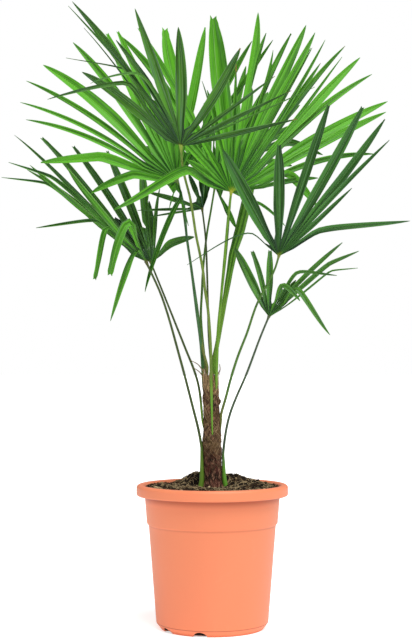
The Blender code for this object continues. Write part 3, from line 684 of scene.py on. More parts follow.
class Shape(Graph):
    """A Geometry Nodes tree with named inputs, from a geometry to a geometry."""

    def __init__(self, name, inputs):
        super().__init__(bpy.data.node_groups.new(name, "GeometryNodeTree"))
        self.tree.is_modifier = True
        ports = self.tree.interface
        ports.new_socket("Geometry", in_out="INPUT", socket_type="NodeSocketGeometry")
        self.identifiers = {}
        for label, kind in inputs.items():
            port = ports.new_socket(label, in_out="INPUT", socket_type="NodeSocket" + kind)
            self.identifiers[label] = port.identifier
        ports.new_socket("Geometry", in_out="OUTPUT", socket_type="NodeSocketGeometry")
        self.start = self.tree.nodes.new("NodeGroupInput")

    def input(self, label):
        return Socket(self, self.start.outputs[label])

    def named(self, name, kind="FLOAT"):
        return self.add("GeometryNodeInputNamedAttribute", {"data_type": kind}, {"Name": name})

    def store(self, geometry, name, value, kind="FLOAT", domain="POINT"):
        return self.add(
            "GeometryNodeStoreNamedAttribute", {"data_type": kind, "domain": domain},
            {"Geometry": geometry, "Name": name, "Value": value},
        )

    def chance(self, least, most, seed, kind="FLOAT"):
        """A random value for each point or instance."""
        return self.add(
            "FunctionNodeRandomValue", {"data_type": kind},
            {"Min": least, "Max": most, "Seed": seed},
        )

    def end(self, geometry):
        """Realize Instances, Set Material and the way out."""
        real = self.add("GeometryNodeRealizeInstances", None, {0: geometry})
        values = {"Geometry": real, "Material": self.input("Finish")}
        done = self.add("GeometryNodeSetMaterial", None, values)
        out = self.tree.nodes.new("NodeGroupOutput")
        self.tree.links.new(done.socket, out.inputs[0])
        return self

    def run(self, guide, values, name):
        """The guide object's mesh taken through the tree, as a plain mesh; the guide goes."""
        modifier = guide.modifiers.new(self.tree.name, "NODES")
        modifier.node_group = self.tree
        for label, value in values.items():
            modifier[self.identifiers[label]] = value
        return finished_mesh(guide, name)


# Meshes.


def link(name, data):
    """A new object in the scene, from a mesh, a light or a camera."""
    obj = bpy.data.objects.new(name, data)
    bpy.context.scene.collection.objects.link(obj)
    return obj


def mesh_from(name, points, edges, faces):
    mesh = bpy.data.meshes.new(name)
    mesh.from_pydata([tuple(point) for point in points], edges, faces)
    mesh.update()
    return mesh


def finished_mesh(guide, name):
    """The evaluated mesh of an object, which is then removed."""
    depsgraph = bpy.context.evaluated_depsgraph_get()
    mesh = bpy.data.meshes.new_from_object(guide.evaluated_get(depsgraph))
    mesh.name = name
    source = guide.data
    bpy.data.objects.remove(guide, do_unlink=True)
    if source.users == 0:
        bpy.data.meshes.remove(source)
    return mesh


def tidy_mesh(mesh, sharp, join=MERGE):
    """Doubles merged, slivers gone, normals outwards, sharp edges marked."""
    bm = bmesh.new()
    bm.from_mesh(mesh)
    bmesh.ops.remove_doubles(bm, verts=bm.verts, dist=join)
    bmesh.ops.dissolve_degenerate(bm, edges=bm.edges, dist=0.5 * join)
    loose = [vertex for vertex in bm.verts if not vertex.link_faces]
    bmesh.ops.delete(bm, geom=loose, context="VERTS")
    bmesh.ops.recalc_face_normals(bm, faces=bm.faces)
    bm.to_mesh(mesh)
    bm.free()
    shade(mesh, sharp)


def shade(mesh, sharp):
    """Smooth shading, but for edges sharper than this many degrees."""
    mesh.shade_smooth()
    mesh.set_sharp_from_angle(angle=math.radians(sharp))


def thickened(mesh, thickness, name):
    """A sheet made into a shell, half its thickness to each side."""
    guide = link(name + "_sheet", mesh)
    shell = guide.modifiers.new("thickness", "SOLIDIFY")
    shell.thickness = thickness
    shell.offset = 0.0
    mesh = finished_mesh(guide, name)
    shade(mesh, BLADE_SHARP)
    return mesh


def add_piece(name, mesh, slot, *nodes, material=None):
    """A finished piece on the plant's one body, in place of its nodes. The slot is not used."""
    obj = link(name, mesh)
    if material:
        mesh.materials.clear()
        mesh.materials.append(material)
    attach(obj, BODY)
    if nodes:
        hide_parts(*nodes)
    return obj


def polyline_mesh(name, lines, attributes):
    """Open lines as edges. Attributes are lists of numbers or vectors, in the points' order."""
    points = [point for line in lines for point in line]
    edges = []
    start = 0
    for line in lines:
        edges += [(start + i, start + i + 1) for i in range(len(line) - 1)]
        start += len(line)
    mesh = mesh_from(name, points, edges, [])
    for label, values in attributes.items():
        if isinstance(values[0], Vector):
            layer = mesh.attributes.new(label, "FLOAT_VECTOR", "POINT")
            layer.data.foreach_set("vector", [number for value in values for number in value])
        else:
            layer = mesh.attributes.new(label, "FLOAT", "POINT")
            layer.data.foreach_set("value", values)
    return mesh


def tube_wall(rows, sides):
    """Faces and UV corners between rings of points, from the first ring to the last."""
    faces, corners = [], []
    for row in range(rows):
        for side in range(sides):
            a, b = row * sides + side, row * sides + (side + 1) % sides
            faces.append((a, b, b + sides, a + sides))
            left, low = side / sides, row / rows
            right, high = left + 1 / sides, low + 1 / rows
            corners += [(left, low), (right, low), (right, high), (left, high)]
    return faces, corners


def mapped_mesh(name, points, faces, uv_name, corners):
    """A mesh with a UV map, from a place for each corner of each face."""
    mesh = mesh_from(name, points, [], faces)
    layer = mesh.uv_layers.new(name=uv_name)
    layer.data.foreach_set("uv", [number for corner in corners for number in corner])
    return mesh


# Rules that the solids follow too.


def seen_at(px, py, depth):
    """The point that is seen at a pixel and lies at this depth behind the pot's axis."""
    reach = EYE_DISTANCE + depth
    right, down = px - AXIS_PX, py - HORIZON_PX
    return Vector((right * reach / FOCAL_PX, depth, EYE_HEIGHT - down * reach / FOCAL_PX))


def outwards(angle):
    """The level direction on a bearing from the pot's axis."""
    return Vector((math.cos(angle), math.sin(angle), 0.0))


def runs_along(points):
    """The distance of each point from the first, along the way."""
    runs = [0.0]
    for a, b in zip(points, points[1:]):
        runs.append(runs[-1] + (b - a).length)
    return runs


def hermite(start, start_tangent, end, end_tangent, t):
    """A point on the cubic that leaves start and reaches end along the given tangents."""
    t2 = t * t
    t3 = t2 * t
    return (
        start * (2.0 * t3 - 3.0 * t2 + 1.0) + start_tangent * (t3 - 2.0 * t2 + t)
        + end * (3.0 * t2 - 2.0 * t3) + end_tangent * (t3 - t2)
    )


def eased(value, low, high):
    share = min(max((value - low) / (high - low), 0.0), 1.0)
    return share * share * (3.0 - 2.0 * share)


def fan_frame(frond):
    """The hub, the fan's facing direction, its middle direction and the one to its left."""
    hub = seen_at(*frond.hub, frond.depth * MM)
    right, up = frond.lean
    normal = Vector((right, -1.0, up)).normalized()
    bearing = math.radians(frond.axis)
    across = math.cos(bearing)
    above = math.sin(bearing)
    middle = Vector((across, right * across + up * above, above)).normalized()
    return hub, normal, middle, normal.cross(middle)


def on_fan(frond, pixel):
    """The point of the frond's plane that is seen at a pixel."""
    hub = seen_at(*frond.hub, frond.depth * MM)
    right, up = frond.lean
    across = (pixel[0] - AXIS_PX) / FOCAL_PX
    above = (HORIZON_PX - pixel[1]) / FOCAL_PX
    level = hub.y - right * hub.x - up * (hub.z - EYE_HEIGHT)
    depth = level + (right * across + up * above) * EYE_DISTANCE
    return seen_at(*pixel, depth / (1.0 - right * across - up * above))


def spread_apart(angles, least):
    """The sorted angles, with neighbours that lie too close pushed apart evenly."""
    angles = list(angles)
    for _ in range(SPREAD_ROUNDS):
        for i in range(len(angles) - 1):
            short = least - (angles[i] - angles[i + 1])
            if short > 0.0:
                angles[i] += 0.5 * short
                angles[i + 1] -= 0.5 * short
    return angles


class Rib:
    """A leaflet's midrib: straight from the hub through the joined part, then on to its tip."""

    def __init__(self, frond, frame_of, angle, leaflet, stops, twist):
        hub, _, middle, left = frame_of
        heading = middle * math.cos(angle) + left * math.sin(angle)
        self.angle = angle
        self.leaf = leaflet
        self.twist = twist
        self.hub = hub
        self.heading = heading
        nearest = min((stop - hub).length for stop in stops)
        joined = min(frond.joined * MM, JOINED_SHARE * nearest)
        rings = max(round((joined - THROAT_RADIUS) / RING_STEP), 1)
        self.joined = THROAT_RADIUS + rings * RING_STEP
        corner = hub + heading * self.joined
        straight = stops[0] - corner
        length = straight.length
        steps = [i / PATH_SAMPLES for i in range(PATH_SAMPLES + 1)]
        if len(stops) == 2:
            rest = stops[1] - stops[0]
            turn = (straight.normalized() + rest.normalized()).normalized() * leaflet.bend
            drop = (rest + Vector((0.0, 0.0, -leaflet.droop * rest.length))).normalized()
            self.path = [
                hermite(corner, heading * length, stops[0], turn * length, t) for t in steps[:-1]
            ] + [
                hermite(stops[0], turn * rest.length, stops[1], drop * rest.length, t)
                for t in steps
            ]
        else:
            raised = Vector((0.0, 0.0, ARCH_TANGENT * frond.arch * length))
            leaving = heading * length * LEAVING_TANGENT + raised
            self.path = [hermite(corner, leaving, stops[0], straight - raised, t) for t in steps]
        self.bow(stops)
        self.reach = runs_along(self.path)
        self.length = self.joined + self.reach[-1]

    def bow(self, stops):
        """Bows the outer part of the path sideways, as it is seen."""
        first = PATH_SAMPLES if len(stops) == 2 else 0
        start = self.path[first]
        count = len(self.path) - 1 - first
        sideways = (self.path[-1] - start).cross(EYE - start).normalized()
        for i in range(count + 1):
            share = i / count
            amount = 4.0 * share * (1.0 - share) * self.leaf.bow * ONE_PX
            self.path[first + i] += sideways * amount

    def at(self, distance):
        """The point at a distance from the hub along the rib."""
        if distance <= self.joined:
            return self.hub + self.heading * distance
        beyond = distance - self.joined
        for i in range(len(self.path) - 1):
            if beyond < self.reach[i + 1]:
                share = (beyond - self.reach[i]) / (self.reach[i + 1] - self.reach[i])
                return self.path[i].lerp(self.path[i + 1], share)
        return self.path[-1]

    def along(self, distance):
        """The rib's direction at a distance from the hub."""
        ahead = self.at(min(distance + DIRECTION_STEP, self.length))
        behind = self.at(max(distance - DIRECTION_STEP, 0.0))
        return (ahead - behind).normalized()

    def stations(self):
        """Distances from the hub: the joined part's rings, then closer and closer to the tip."""
        between = 0.5 * (HUB_RADIUS + THROAT_RADIUS)
        rings = [BLADE_START, 0.5 * HUB_RADIUS, HUB_RADIUS, between, THROAT_RADIUS]
        while rings[-1] < self.joined - 0.5 * RING_STEP:
            rings.append(rings[-1] + RING_STEP)
        free = self.length - self.joined
        shares = [i / FREE_STATIONS for i in range(1, FREE_STATIONS + 1)]
        steps = [1.0 - (1.0 - share) ** STATION_EASE for share in shares]
        return rings + [self.joined + free * step for step in steps]

    def share(self, distance):
        return max(distance - self.joined, 0.0) / (self.length - self.joined)

    def half_width(self, distance):
        """Half the leaflet's width: it grows from the hub, is widest past its waist, and tapers."""
        full = 0.5 * self.leaf.wide * MM
        if distance < self.joined:
            return max(full * WAIST * distance / self.joined, HUB_HALF_WIDTH)
        share = min(self.share(distance), 1.0)
        rise = WAIST + (1.0 - WAIST) * eased(share, 0.0, WAIST_END)
        power = TAPER_POWER + TAPER_SPAN * self.leaf.blunt
        taper = rise * (1.0 - share ** power) ** TAPER_ROUND
        if self.leaf.blunt > 0.0:
            end = BLUNT_WIDTH * self.leaf.blunt
            taper = max(taper, end if share < BLUNT_END else BLUNT_STEP * end)
        return max(full * taper, TIP_HALF_WIDTH)


def make_ribs(frond, wander):
    """The frond's ribs from its left side to its right, spaced apart round the hub."""
    frame_of = fan_frame(frond)
    hub, _, middle, left = frame_of
    measured = []
    for leaflet in frond.leaves:
        if leaflet.crest:
            depth = on_fan(frond, leaflet.crest).y
            stops = [
                seen_at(*pixel, depth - share * leaflet.forward * MM)
                for pixel, share in ((leaflet.crest, CREST_SHARE), (leaflet.tip, 1.0))
            ]
        else:
            tip = on_fan(frond, leaflet.tip)
            stops = [tip + (tip - EYE).normalized() * wander.uniform(-TIP_WANDER, TIP_WANDER)]
        ray = stops[0] - hub
        measured.append((math.atan2(ray.dot(left), ray.dot(middle)), leaflet, stops))
    measured.sort(key=lambda item: -item[0])
    angles = spread_apart([item[0] for item in measured], math.radians(frond.spacing))
    ribs = []
    for angle, (_, leaflet, stops) in zip(angles, measured):
        twist = TWIST + wander.uniform(-TWIST_CHANCE, TWIST_CHANCE)
        ribs.append(Rib(frond, frame_of, angle, leaflet, stops, twist))
    return ribs


def room_beside(rib, other, distance):
    """Half the distance to the next rib, less a slit where they part; farther out they overlap."""
    if other is None:
        return 1.0
    apart = (rib.at(distance) - other.at(min(distance, other.length))).length
    over = 1.0 + (OVERLAP - 1.0) * eased(distance - rib.joined, 0.0, OVERLAP_EASE)
    return max(0.5 * (apart - SLIT) * over, TIP_HALF_WIDTH)


def joined_with(rib, other):
    """How far from the hub a leaflet is joined with its neighbour: less where they spread apart."""
    if other is None:
        return 0.0
    wide = CLOSE * (rib.leaf.wide + other.leaf.wide) * MM
    reach = wide / max(abs(rib.angle - other.angle), 0.01)
    return max(min(rib.joined, other.joined, reach), THROAT_RADIUS)


def leaflet_lines(frond, seed):
    """The lines and attributes that the leaflet tree turns into the frond's blades."""
    ribs = make_ribs(frond, random.Random(seed))
    hub, normal, middle, left = fan_frame(frond)
    lines = []
    labels = ("spine", "left", "right", "facing", "notch", "share", "tone", "dry")
    values = {label: [] for label in labels}
    for i, rib in enumerate(ribs):
        after = ribs[i + 1] if i + 1 < len(ribs) else None
        beside = (("left", 1.0, ribs[i - 1] if i else None), ("right", -1.0, after))
        line = []
        for distance in rib.stations():
            along = rib.along(distance)
            share = rib.share(distance)
            place = rib.at(distance)
            face = normal
            if rib.leaf.crest:
                face = normal.lerp(TOWARDS, eased(share, *TURN_SPAN)).normalized()
            sideways = face.cross(along).normalized()
            sideways = Quaternion(along, rib.twist * eased(share, 0.0, TWIST_END)) @ sideways
            facing = along.cross(sideways)
            fold = PLEAT + (FOLD - PLEAT) * eased(share, 0.0, FOLD_EASE)
            for label, side, other in beside:
                if distance <= joined_with(rib, other) + JOINED_SLACK:
                    between = 0.5 * (rib.angle + other.angle)
                    heading = middle * math.cos(between) + left * math.sin(between)
                    half_gap = distance * math.sin(0.5 * abs(rib.angle - other.angle))
                    rise = PLEAT * min(half_gap, PLEAT_REACH)
                    offset = hub + heading * distance + normal * rise - place
                else:
                    width = min(rib.half_width(distance), room_beside(rib, other, distance))
                    offset = sideways * (side * width) + facing * (fold * width)
                values[label].append(offset)
            forked = max(rib.leaf.blunt, 0.0) * NOTCH * rib.leaf.wide * MM
            numbers = {
                "spine": place, "facing": facing,
                "notch": along * -(forked * eased(share, BLUNT_END, 1.0)),
                "share": distance / rib.length, "tone": rib.leaf.tone, "dry": rib.leaf.dry,
            }
            for label, value in numbers.items():
                values[label].append(value)
            line.append(place)
        lines.append(line)
    return polyline_mesh("leaflet_lines", lines, values)


def trunk_axis(height):
    """Where the trunk's middle is at a height, and its radius there."""
    above = (height - GROUND) / MM
    radius = TRUNK_PROFILE[-1][1] * MM
    for (low, low_radius), (high, high_radius) in zip(TRUNK_PROFILE, TRUNK_PROFILE[1:]):
        if above <= high:
            share = max((above - low) / (high - low), 0.0)
            radius = (low_radius + (high_radius - low_radius) * share) * MM
            break
    flare_top = TRUNK_PROFILE[1][0]
    lean = max(above - flare_top, 0.0) / (TRUNK_HEIGHT - flare_top)
    return Vector((TRUNK_FOOT_X + (TRUNK_TOP_X - TRUNK_FOOT_X) * lean, 0.0, height)), radius


def beside_trunk(angle, height, radius):
    """The middle of a limb of this radius that lies along the bark, a gap away."""
    middle, trunk_radius = trunk_axis(height)
    return middle + outwards(angle) * (trunk_radius + radius + BARK_CLEARANCE)


def smooth_way(points, step):
    """Points about a step apart on a smooth curve through the given ones."""
    way = []
    last = len(points) - 1
    for i in range(last):
        before = points[max(i - 1, 0)]
        after = points[min(i + 2, last)]
        length = (points[i + 1] - points[i]).length
        start_tangent = (points[i + 1] - before).normalized() * length
        end_tangent = (after - points[i]).normalized() * length
        count = max(1, round(length / step))
        for k in range(count):
            way.append(hermite(points[i], start_tangent, points[i + 1], end_tangent, k / count))
    way.append(points[last])
    return way


def foot_points(foot, radius):
    """Where a limb meets the trunk, from above."""
    if isinstance(foot, OnTop):
        middle, _ = trunk_axis(TRUNK_TOP)
        base = middle + Vector((foot.x * MM, foot.y * MM, 2.0 * GAP))
        return [base + Vector((0.0, 0.0, BARK_STEP)), base]
    angle = math.radians(foot.angle)
    run = (foot.upper - foot.lower) * MM
    count = max(2, math.ceil(run / BARK_STEP))
    heights = [foot.upper * MM - run * i / count for i in range(count + 1)]
    return [beside_trunk(angle, height, radius) for height in heights]


def stalk_way(name, petiole):
    """Points and radii from a frond's hub down to the stalk's foot."""
    frond = FRONDS[name]
    hub, _, middle, _ = fan_frame(frond)
    foot_radius = petiole.radius * MM
    foot = foot_points(petiole.foot, foot_radius)
    points = [hub + middle * HUB_START]
    for pixel in petiole.way:
        down = (hub.z - seen_at(*pixel, hub.y).z) / (hub.z - foot[0].z)
        depth = hub.y + (foot[0].y - hub.y) * down ** DEPTH_EASE
        points.append(seen_at(*pixel, depth + HUB_SETBACK * (1.0 - down)))
    beside = isinstance(petiole.foot, Beside)
    in_soil = beside and petiole.foot.lower * MM < GROUND + SOIL_REACH
    if beside and not in_soil:
        # The stalk's end sinks into the bark.
        for i, point in enumerate(foot):
            middle, _ = trunk_axis(point.z)
            share = i / (len(foot) - 1)
            foot[i] = point.lerp(middle, SINK * share ** 2)
    way = smooth_way(points + foot, STALK_STEP)
    end_radius = foot_radius * HUB_SHRINK
    runs = runs_along(way)
    shares = [run / runs[-1] for run in runs]
    touch = runs_along(foot)[-1] / runs[-1]
    radii = []
    for share in shares:
        radius = end_radius + (foot_radius - end_radius) * min(share / FULL_RADIUS_AT, 1.0)
        near = eased(share, 1.0 - touch, 1.0)
        radius *= 1.0 + FLARE * near if in_soil else 1.0 - THIN * near
        radii.append(SLIM * radius * (1.0 + KNUCKLE * (1.0 - eased(share, 0.0, KNUCKLE_END))))
    return way, radii, shares


def soil_height(x, y):
    """Height of the soil's surface: level by the trunk, heaped behind it, lower at the rim."""
    radius = math.hypot(x, y)
    from_trunk = math.hypot(x - TRUNK_FOOT_X, y)
    away = eased(from_trunk, SOIL_LEVEL_RADIUS, SOIL_LEVEL_RADIUS + SOIL_EASE)
    rise = 0.0
    for cx, cy, reach, height in HEAPS:
        distance = math.hypot(x / MM - cx, y / MM - cy) / reach
        rise += height * MM * math.exp(-distance * distance)
    for height, wave_x, wave_y in CLODS:
        wave = math.sin(x / MM / wave_x * math.tau + 1.0)
        rise += height * MM * wave * math.sin(y / MM / wave_y * math.tau)
    edge = min(radius / (NECK_RADIUS - POT_WALL), 1.0) ** 4
    brim = SOIL_EDGE + SIDE_RISE * eased(abs(x) / (NECK_RADIUS - POT_WALL), *SIDE_SPAN)
    return GROUND + away * (rise * (1.0 - edge) + (brim - GROUND) * edge)


def inner_wall(height):
    """Radius of the pot's inner face at a height."""
    outer = (
        (POT_FLOOR, FOOT_RADIUS - POT_WALL - FLOOR_CHAMFER),
        (FOOT_HEIGHT, FOOT_RADIUS - POT_WALL),
        (STEP_HEIGHT - STEP_WIDTH, STEP_RADIUS - STEP_WIDTH - POT_WALL),
        (STEP_HEIGHT + STEP_WIDTH, STEP_RADIUS - POT_WALL),
        (POT_HEIGHT - RIM_DEPTH, NECK_RADIUS - POT_WALL),
        (POT_HEIGHT, NECK_RADIUS),
    )
    for (low, low_radius), (high, high_radius) in zip(outer, outer[1:]):
        if height <= high:
            return low_radius + (high_radius - low_radius) * (height - low) / (high - low)
    return outer[-1][1]


# Geometry Nodes shapes.


def leaflet_shape():
    """Rib lines with their edge offsets made into folded blades, joined where edges meet."""
    kinds = {"Columns": "Int", "Bow": "Float", "Joint": "Float", "Finish": "Material"}
    shape = Shape("leaflets", kinds)
    ends = {"Start": (-1.0, 0.0, 0.0), "End": (1.0, 0.0, 0.0)}
    line = shape.add("GeometryNodeCurvePrimitiveLine", None, ends)
    values = {"Curve": line, "Count": shape.input("Columns")}
    line = shape.add("GeometryNodeResampleCurve", None, values)
    place = shape.add("GeometryNodeInputPosition")
    line = shape.store(line, "across", shape.add("ShaderNodeSeparateXYZ", None, {0: place}))
    ribs = shape.add("GeometryNodeMeshToCurve", None, {"Mesh": shape.input("Geometry")})
    sheet = shape.add("GeometryNodeCurveToMesh", None, {"Curve": ribs, "Profile Curve": line})
    across = shape.named("across")
    out = abs(across)
    point = shape.named("spine", "FLOAT_VECTOR")
    for name, amount in (
        ("left", shape.math("MAXIMUM", across, 0.0)),
        ("right", shape.math("MAXIMUM", 0.0 - across, 0.0)),
        ("facing", shape.input("Bow") * out * (1.0 - out) * BOW_SCALE),
        ("notch", 1.0 - out),
    ):
        part = shape.vector("SCALE", shape.named(name, "FLOAT_VECTOR"), amount)
        point = shape.vector("ADD", point, part)
    sheet = shape.add("GeometryNodeSetPosition", None, {"Geometry": sheet, "Position": point})
    values = {0: across * 0.5 + 0.5, 1: shape.named("share")}
    spot = shape.add("ShaderNodeCombineXYZ", None, values)
    sheet = shape.store(sheet, "leaf", spot, "FLOAT2", "CORNER")
    values = {"Geometry": sheet, "Distance": shape.input("Joint")}
    return shape.end(shape.add("GeometryNodeMergeByDistance", None, values))


def limb_shape():
    """Lines with a radius at each point made into round limbs with closed ends."""
    shape = Shape("limbs", {"Sides": "Int", "Finish": "Material"})
    thick = shape.named("thick")
    lines = shape.add("GeometryNodeMeshToCurve", None, {"Mesh": shape.input("Geometry")})
    values = {"Curve": lines, "Radius": thick}
    lines = shape.add("GeometryNodeSetCurveRadius", None, values)
    values = {"Resolution": shape.input("Sides"), "Radius": 1.0}
    ring = shape.add("GeometryNodeCurvePrimitiveCircle", None, values)
    # The sweep takes the radius as its scale, because it doesn't read it by itself.
    return shape.end(shape.add("GeometryNodeCurveToMesh", None, {
        "Curve": lines, "Profile Curve": ring, "Scale": thick, "Fill Caps": True,
    }))


def crumb_shape():
    """Lumps strewn over a surface, each turned, squashed and toned by its own seed."""
    shape = Shape("crumbs", {
        "Density": "Float", "Least": "Float", "Most": "Float", "Seed": "Int", "Detail": "Int",
        "Finish": "Material",
    })
    seed = shape.input("Seed")
    spots = shape.add("GeometryNodeDistributePointsOnFaces", None, {
        "Mesh": shape.input("Geometry"), "Density": shape.input("Density"), "Seed": seed,
    })
    values = {"Radius": 1.0, "Subdivisions": shape.input("Detail")}
    lump = shape.add("GeometryNodeMeshIcoSphere", None, values)
    place = shape.add("GeometryNodeInputPosition")
    rough = shape.add("ShaderNodeTexNoise", None, {"Vector": place, "Scale": 1.3, "Detail": 2.0})
    lump = shape.add("GeometryNodeSetPosition", None, {
        "Geometry": lump, "Position": shape.vector("SCALE", place, rough * 1.4 + 0.35),
    })
    size = shape.chance(shape.input("Least"), shape.input("Most"), seed)
    squash = shape.chance(*CRUMB_SQUASH, SQUASH_SEED, "FLOAT_VECTOR")
    turn = shape.chance(*CRUMB_TURN, TURN_SEED, "FLOAT_VECTOR")
    lumps = shape.add("GeometryNodeInstanceOnPoints", None, {
        "Points": spots, "Instance": lump, "Scale": shape.vector("SCALE", squash, size),
        "Rotation": shape.add("FunctionNodeEulerToRotation", None, {0: turn}),
    })
    tone = shape.chance(0.0, 1.0, TONE_SEED)
    return shape.end(shape.store(lumps, "tone", tone, domain="INSTANCE"))


# Finishes.


def blade_finish(name, hue):
    """Leaf: veins along it, a pale rib, a green-yellow hub, mottled tone, dry ends, painted shade
    and sheen.
    """
    *colours, sheen_share = HUES[hue]
    deep, bright, sheen, rib, hub = (screen(*colour) for colour in colours)
    finish = Finish("blade_" + name, 0.42, 0.14)
    side, along = finish.uv("leaf")
    out = abs(side * 2.0 - 1.0)
    tone = finish.attribute("tone")
    dry = finish.attribute("dry")
    clouds = finish.noise(24.0, 3.0)
    fine = finish.noise(240.0)
    values = {0: side * 5.0, 1: along * 1.5, 2: tone * 7.0}
    lengthwise = finish.add("ShaderNodeCombineXYZ", None, values)
    streaks = finish.noise(1.0, 3.0, vector=lengthwise, roughness=0.6)
    sheen_patches = finish.noise(1.7, vector=lengthwise)
    veins = finish.wave(side * 88.0)
    inner = 1.0 - finish.smooth(along, 0.05, 0.4)
    # Painted shade: one half of each leaflet is darker than the other, as if lit from one side; the
    # leaflets darken towards the hub, and most at their edges there, where the pleats shade each
    # other.
    level = (
        0.56 + tone * 0.40 + (clouds - 0.5) * 0.5 + (streaks - 0.5) * 2.8 + (veins - 0.5) * 0.2
        + (side - 0.5) * 0.3 - inner * 0.25 - inner * finish.smooth(out, 0.5, 1.0) * 0.7
    )
    ridge = (1.0 - finish.smooth(out, 0.0, 0.09)) * finish.smooth(along, 0.02, 0.2)
    margin = finish.smooth(out, 0.90, 1.0) * (1.0 - inner)
    throat = 1.0 - finish.smooth(along, 0.008, 0.04)
    edge = along + (fine - 0.5) * 0.08
    brown = finish.smooth(edge, 1.0 - dry * 0.32, 1.03 - dry * 0.22)
    brown = brown * finish.smooth(dry, 0.0, 0.1)
    # Painted sheen: grey-green patches stand for the white surround's reflection on the leaves.
    colour = finish.layered(
        finish.mix(level, deep, bright), (finish.smooth(sheen_patches, 0.45, 0.75) * sheen_share, sheen),
        (ridge * 0.6, rib), (margin * 0.35, rib), (throat * 0.75, hub),
        (brown, finish.mix(clouds, *DRY)),
    )
    return finish.feed(
        Base_Color=colour, Roughness=0.36 + clouds * 0.16 + brown * 0.3,
        Normal=finish.bump(veins * 0.35 + fine * 0.4 - ridge, 0.0003, 0.6),
    )


def stalk_finish(name, hue):
    """Stalk: dark and light green in faint long streaks, with colours of its own at its top and at
    its foot.
    """
    dark, light, high, low = (screen(*colour) for colour in STALKS[hue])
    finish = Finish("stalk_" + name, 0.42, 0.3)
    along = finish.attribute("along")
    streaks = finish.noise(60.0, 3.0, stretch=(6.0, 6.0, 0.5))
    fine = finish.noise(420.0)
    colour = finish.layered(
        finish.mix(streaks * 1.2 + (fine - 0.5) * 0.3 - 0.1, dark, light),
        (finish.smooth(along, 0.76, 0.94) * 0.75, low),
        ((1.0 - finish.smooth(along, 0.008, 0.035)) * 0.8, high),
    )
    return finish.feed(
        Base_Color=colour, Roughness=0.36 + fine * 0.2, Normal=finish.bump(streaks, 0.0004, 0.5),
    )


def bark_finish():
    """Trunk: dark and light brown fibre crossing both ways, with a green tinge in the middle."""
    finish = Finish("trunk_bark", 0.9, 0.25)
    around, up = finish.uv("bark")
    strands = [
        finish.wave(around * 190.0 + up * slope + finish.noise(70.0) * 5.0)
        for slope in (260.0, -300.0)
    ]
    weave = finish.math("MAXIMUM", *strands)
    clouds = finish.noise(55.0, 4.0)
    fine = finish.noise(700.0, 3.0)
    flecks = finish.noise(260.0, 4.0, roughness=0.7, stretch=(1.0, 1.0, 0.45))
    level = (flecks - 0.5) * 5.2 + weave * 0.55 + 0.02
    red = finish.smooth(clouds, 0.38, 0.62) * (0.9 - level * 0.6)
    straw = finish.smooth(up, 0.74, 0.95) * finish.smooth(flecks, 0.42, 0.58)
    green = finish.smooth(up, 0.18, 0.42) * (1.0 - finish.smooth(up, 0.62, 0.88))
    green = green * finish.smooth(clouds, 0.4, 0.62)
    colour = finish.layered(
        finish.mix(level - 0.2, screen(30, 16, 12), screen(180, 132, 106)),
        (red, screen(98, 48, 38)), (straw * 0.8, screen(214, 186, 128)),
        (green * 0.3, screen(100, 116, 58)),
    )
    return finish.feed(
        Base_Color=colour, Roughness=0.78 + fine * 0.2,
        Normal=finish.bump(weave + fine, 0.0006, 0.8),
    )


def fibre_finish(name, dark, light):
    """Dry fibre: its tone runs from dark to light by each strand's own number."""
    finish = Finish(name, 0.85, 0.25)
    spots = finish.noise(300.0)
    level = finish.attribute("tone") + (spots - 0.5) * 0.5
    return finish.feed(Base_Color=finish.mix(level, dark, light), Roughness=0.75 + spots * 0.2)


def soil_finish(name):
    """Peaty soil: dark grains, with brown and grey ones among them."""
    finish = Finish(name, 0.95, 0.2)
    grains = finish.noise(420.0, 3.0)
    clouds = finish.noise(60.0, 3.0)
    tone = finish.attribute("tone")
    level = (grains - 0.5) * 2.2 + (clouds - 0.5) * 1.4 + tone * 0.6 - 0.25
    colour = finish.layered(
        finish.mix(level, screen(22, 15, 8), screen(120, 92, 60)),
        (finish.smooth(tone, 0.86, 0.95) * 0.75, screen(176, 152, 112)),
    )
    return finish.feed(
        Base_Color=colour, Roughness=0.85 + grains * 0.14,
        Normal=finish.bump(grains, 0.0012, 0.9),
    )


# Painted shade in bands under the rim, under the step and in the foot's groove: from and to a
# height, and how strong.
POT_PAINTED_SHADES = (
    (POT_HEIGHT - RIM_DEPTH - 13.0 * MM, POT_HEIGHT - RIM_DEPTH + 0.4 * MM, 0.7),
    (STEP_HEIGHT - 4.2 * MM, STEP_HEIGHT - 0.6 * MM, 0.24),
    (FOOT_HEIGHT - 0.4 * MM, FOOT_HEIGHT + 1.0 * MM, 0.75),
)
SHADE_EDGE = 0.6 * MM


def pot_finish():
    """Thin moulded plastic: a soft skin with faint flow marks, dull scuffs and bands of painted
    shade.
    """
    finish = Finish("pot_plastic", 0.46, 0.42)
    skin = finish.noise(900.0)
    flow = finish.noise(9.0, 3.0, stretch=(1.0, 1.0, 0.35))
    scuffs = finish.smooth(finish.noise(34.0, 5.0, roughness=0.7), 0.58, 0.75)
    height = finish.add("ShaderNodeSeparateXYZ", None, {0: finish.place()}, 2)
    # Painted shade: darker bands under the rim, under the step and in the foot's groove.
    shade_bands = [
        finish.smooth(height, low, high) * (1.0 - finish.smooth(height, high, high + SHADE_EDGE))
        for low, high, _ in POT_PAINTED_SHADES
    ]
    colour = finish.layered(
        finish.mix(flow, screen(244, 136, 94), screen(250, 148, 104)),
        (scuffs * 0.10, screen(250, 178, 142)),
        *((shade_band * row[2], screen(150, 62, 34)) for shade_band, row in zip(shade_bands, POT_PAINTED_SHADES)),
    )
    return finish.feed(
        Base_Color=colour, Roughness=0.42 + flow * 0.08 + scuffs * 0.08,
        Normal=finish.bump(skin, 0.0001, 0.35),
    )


def grey(level):
    return (level, level, level, 1.0)


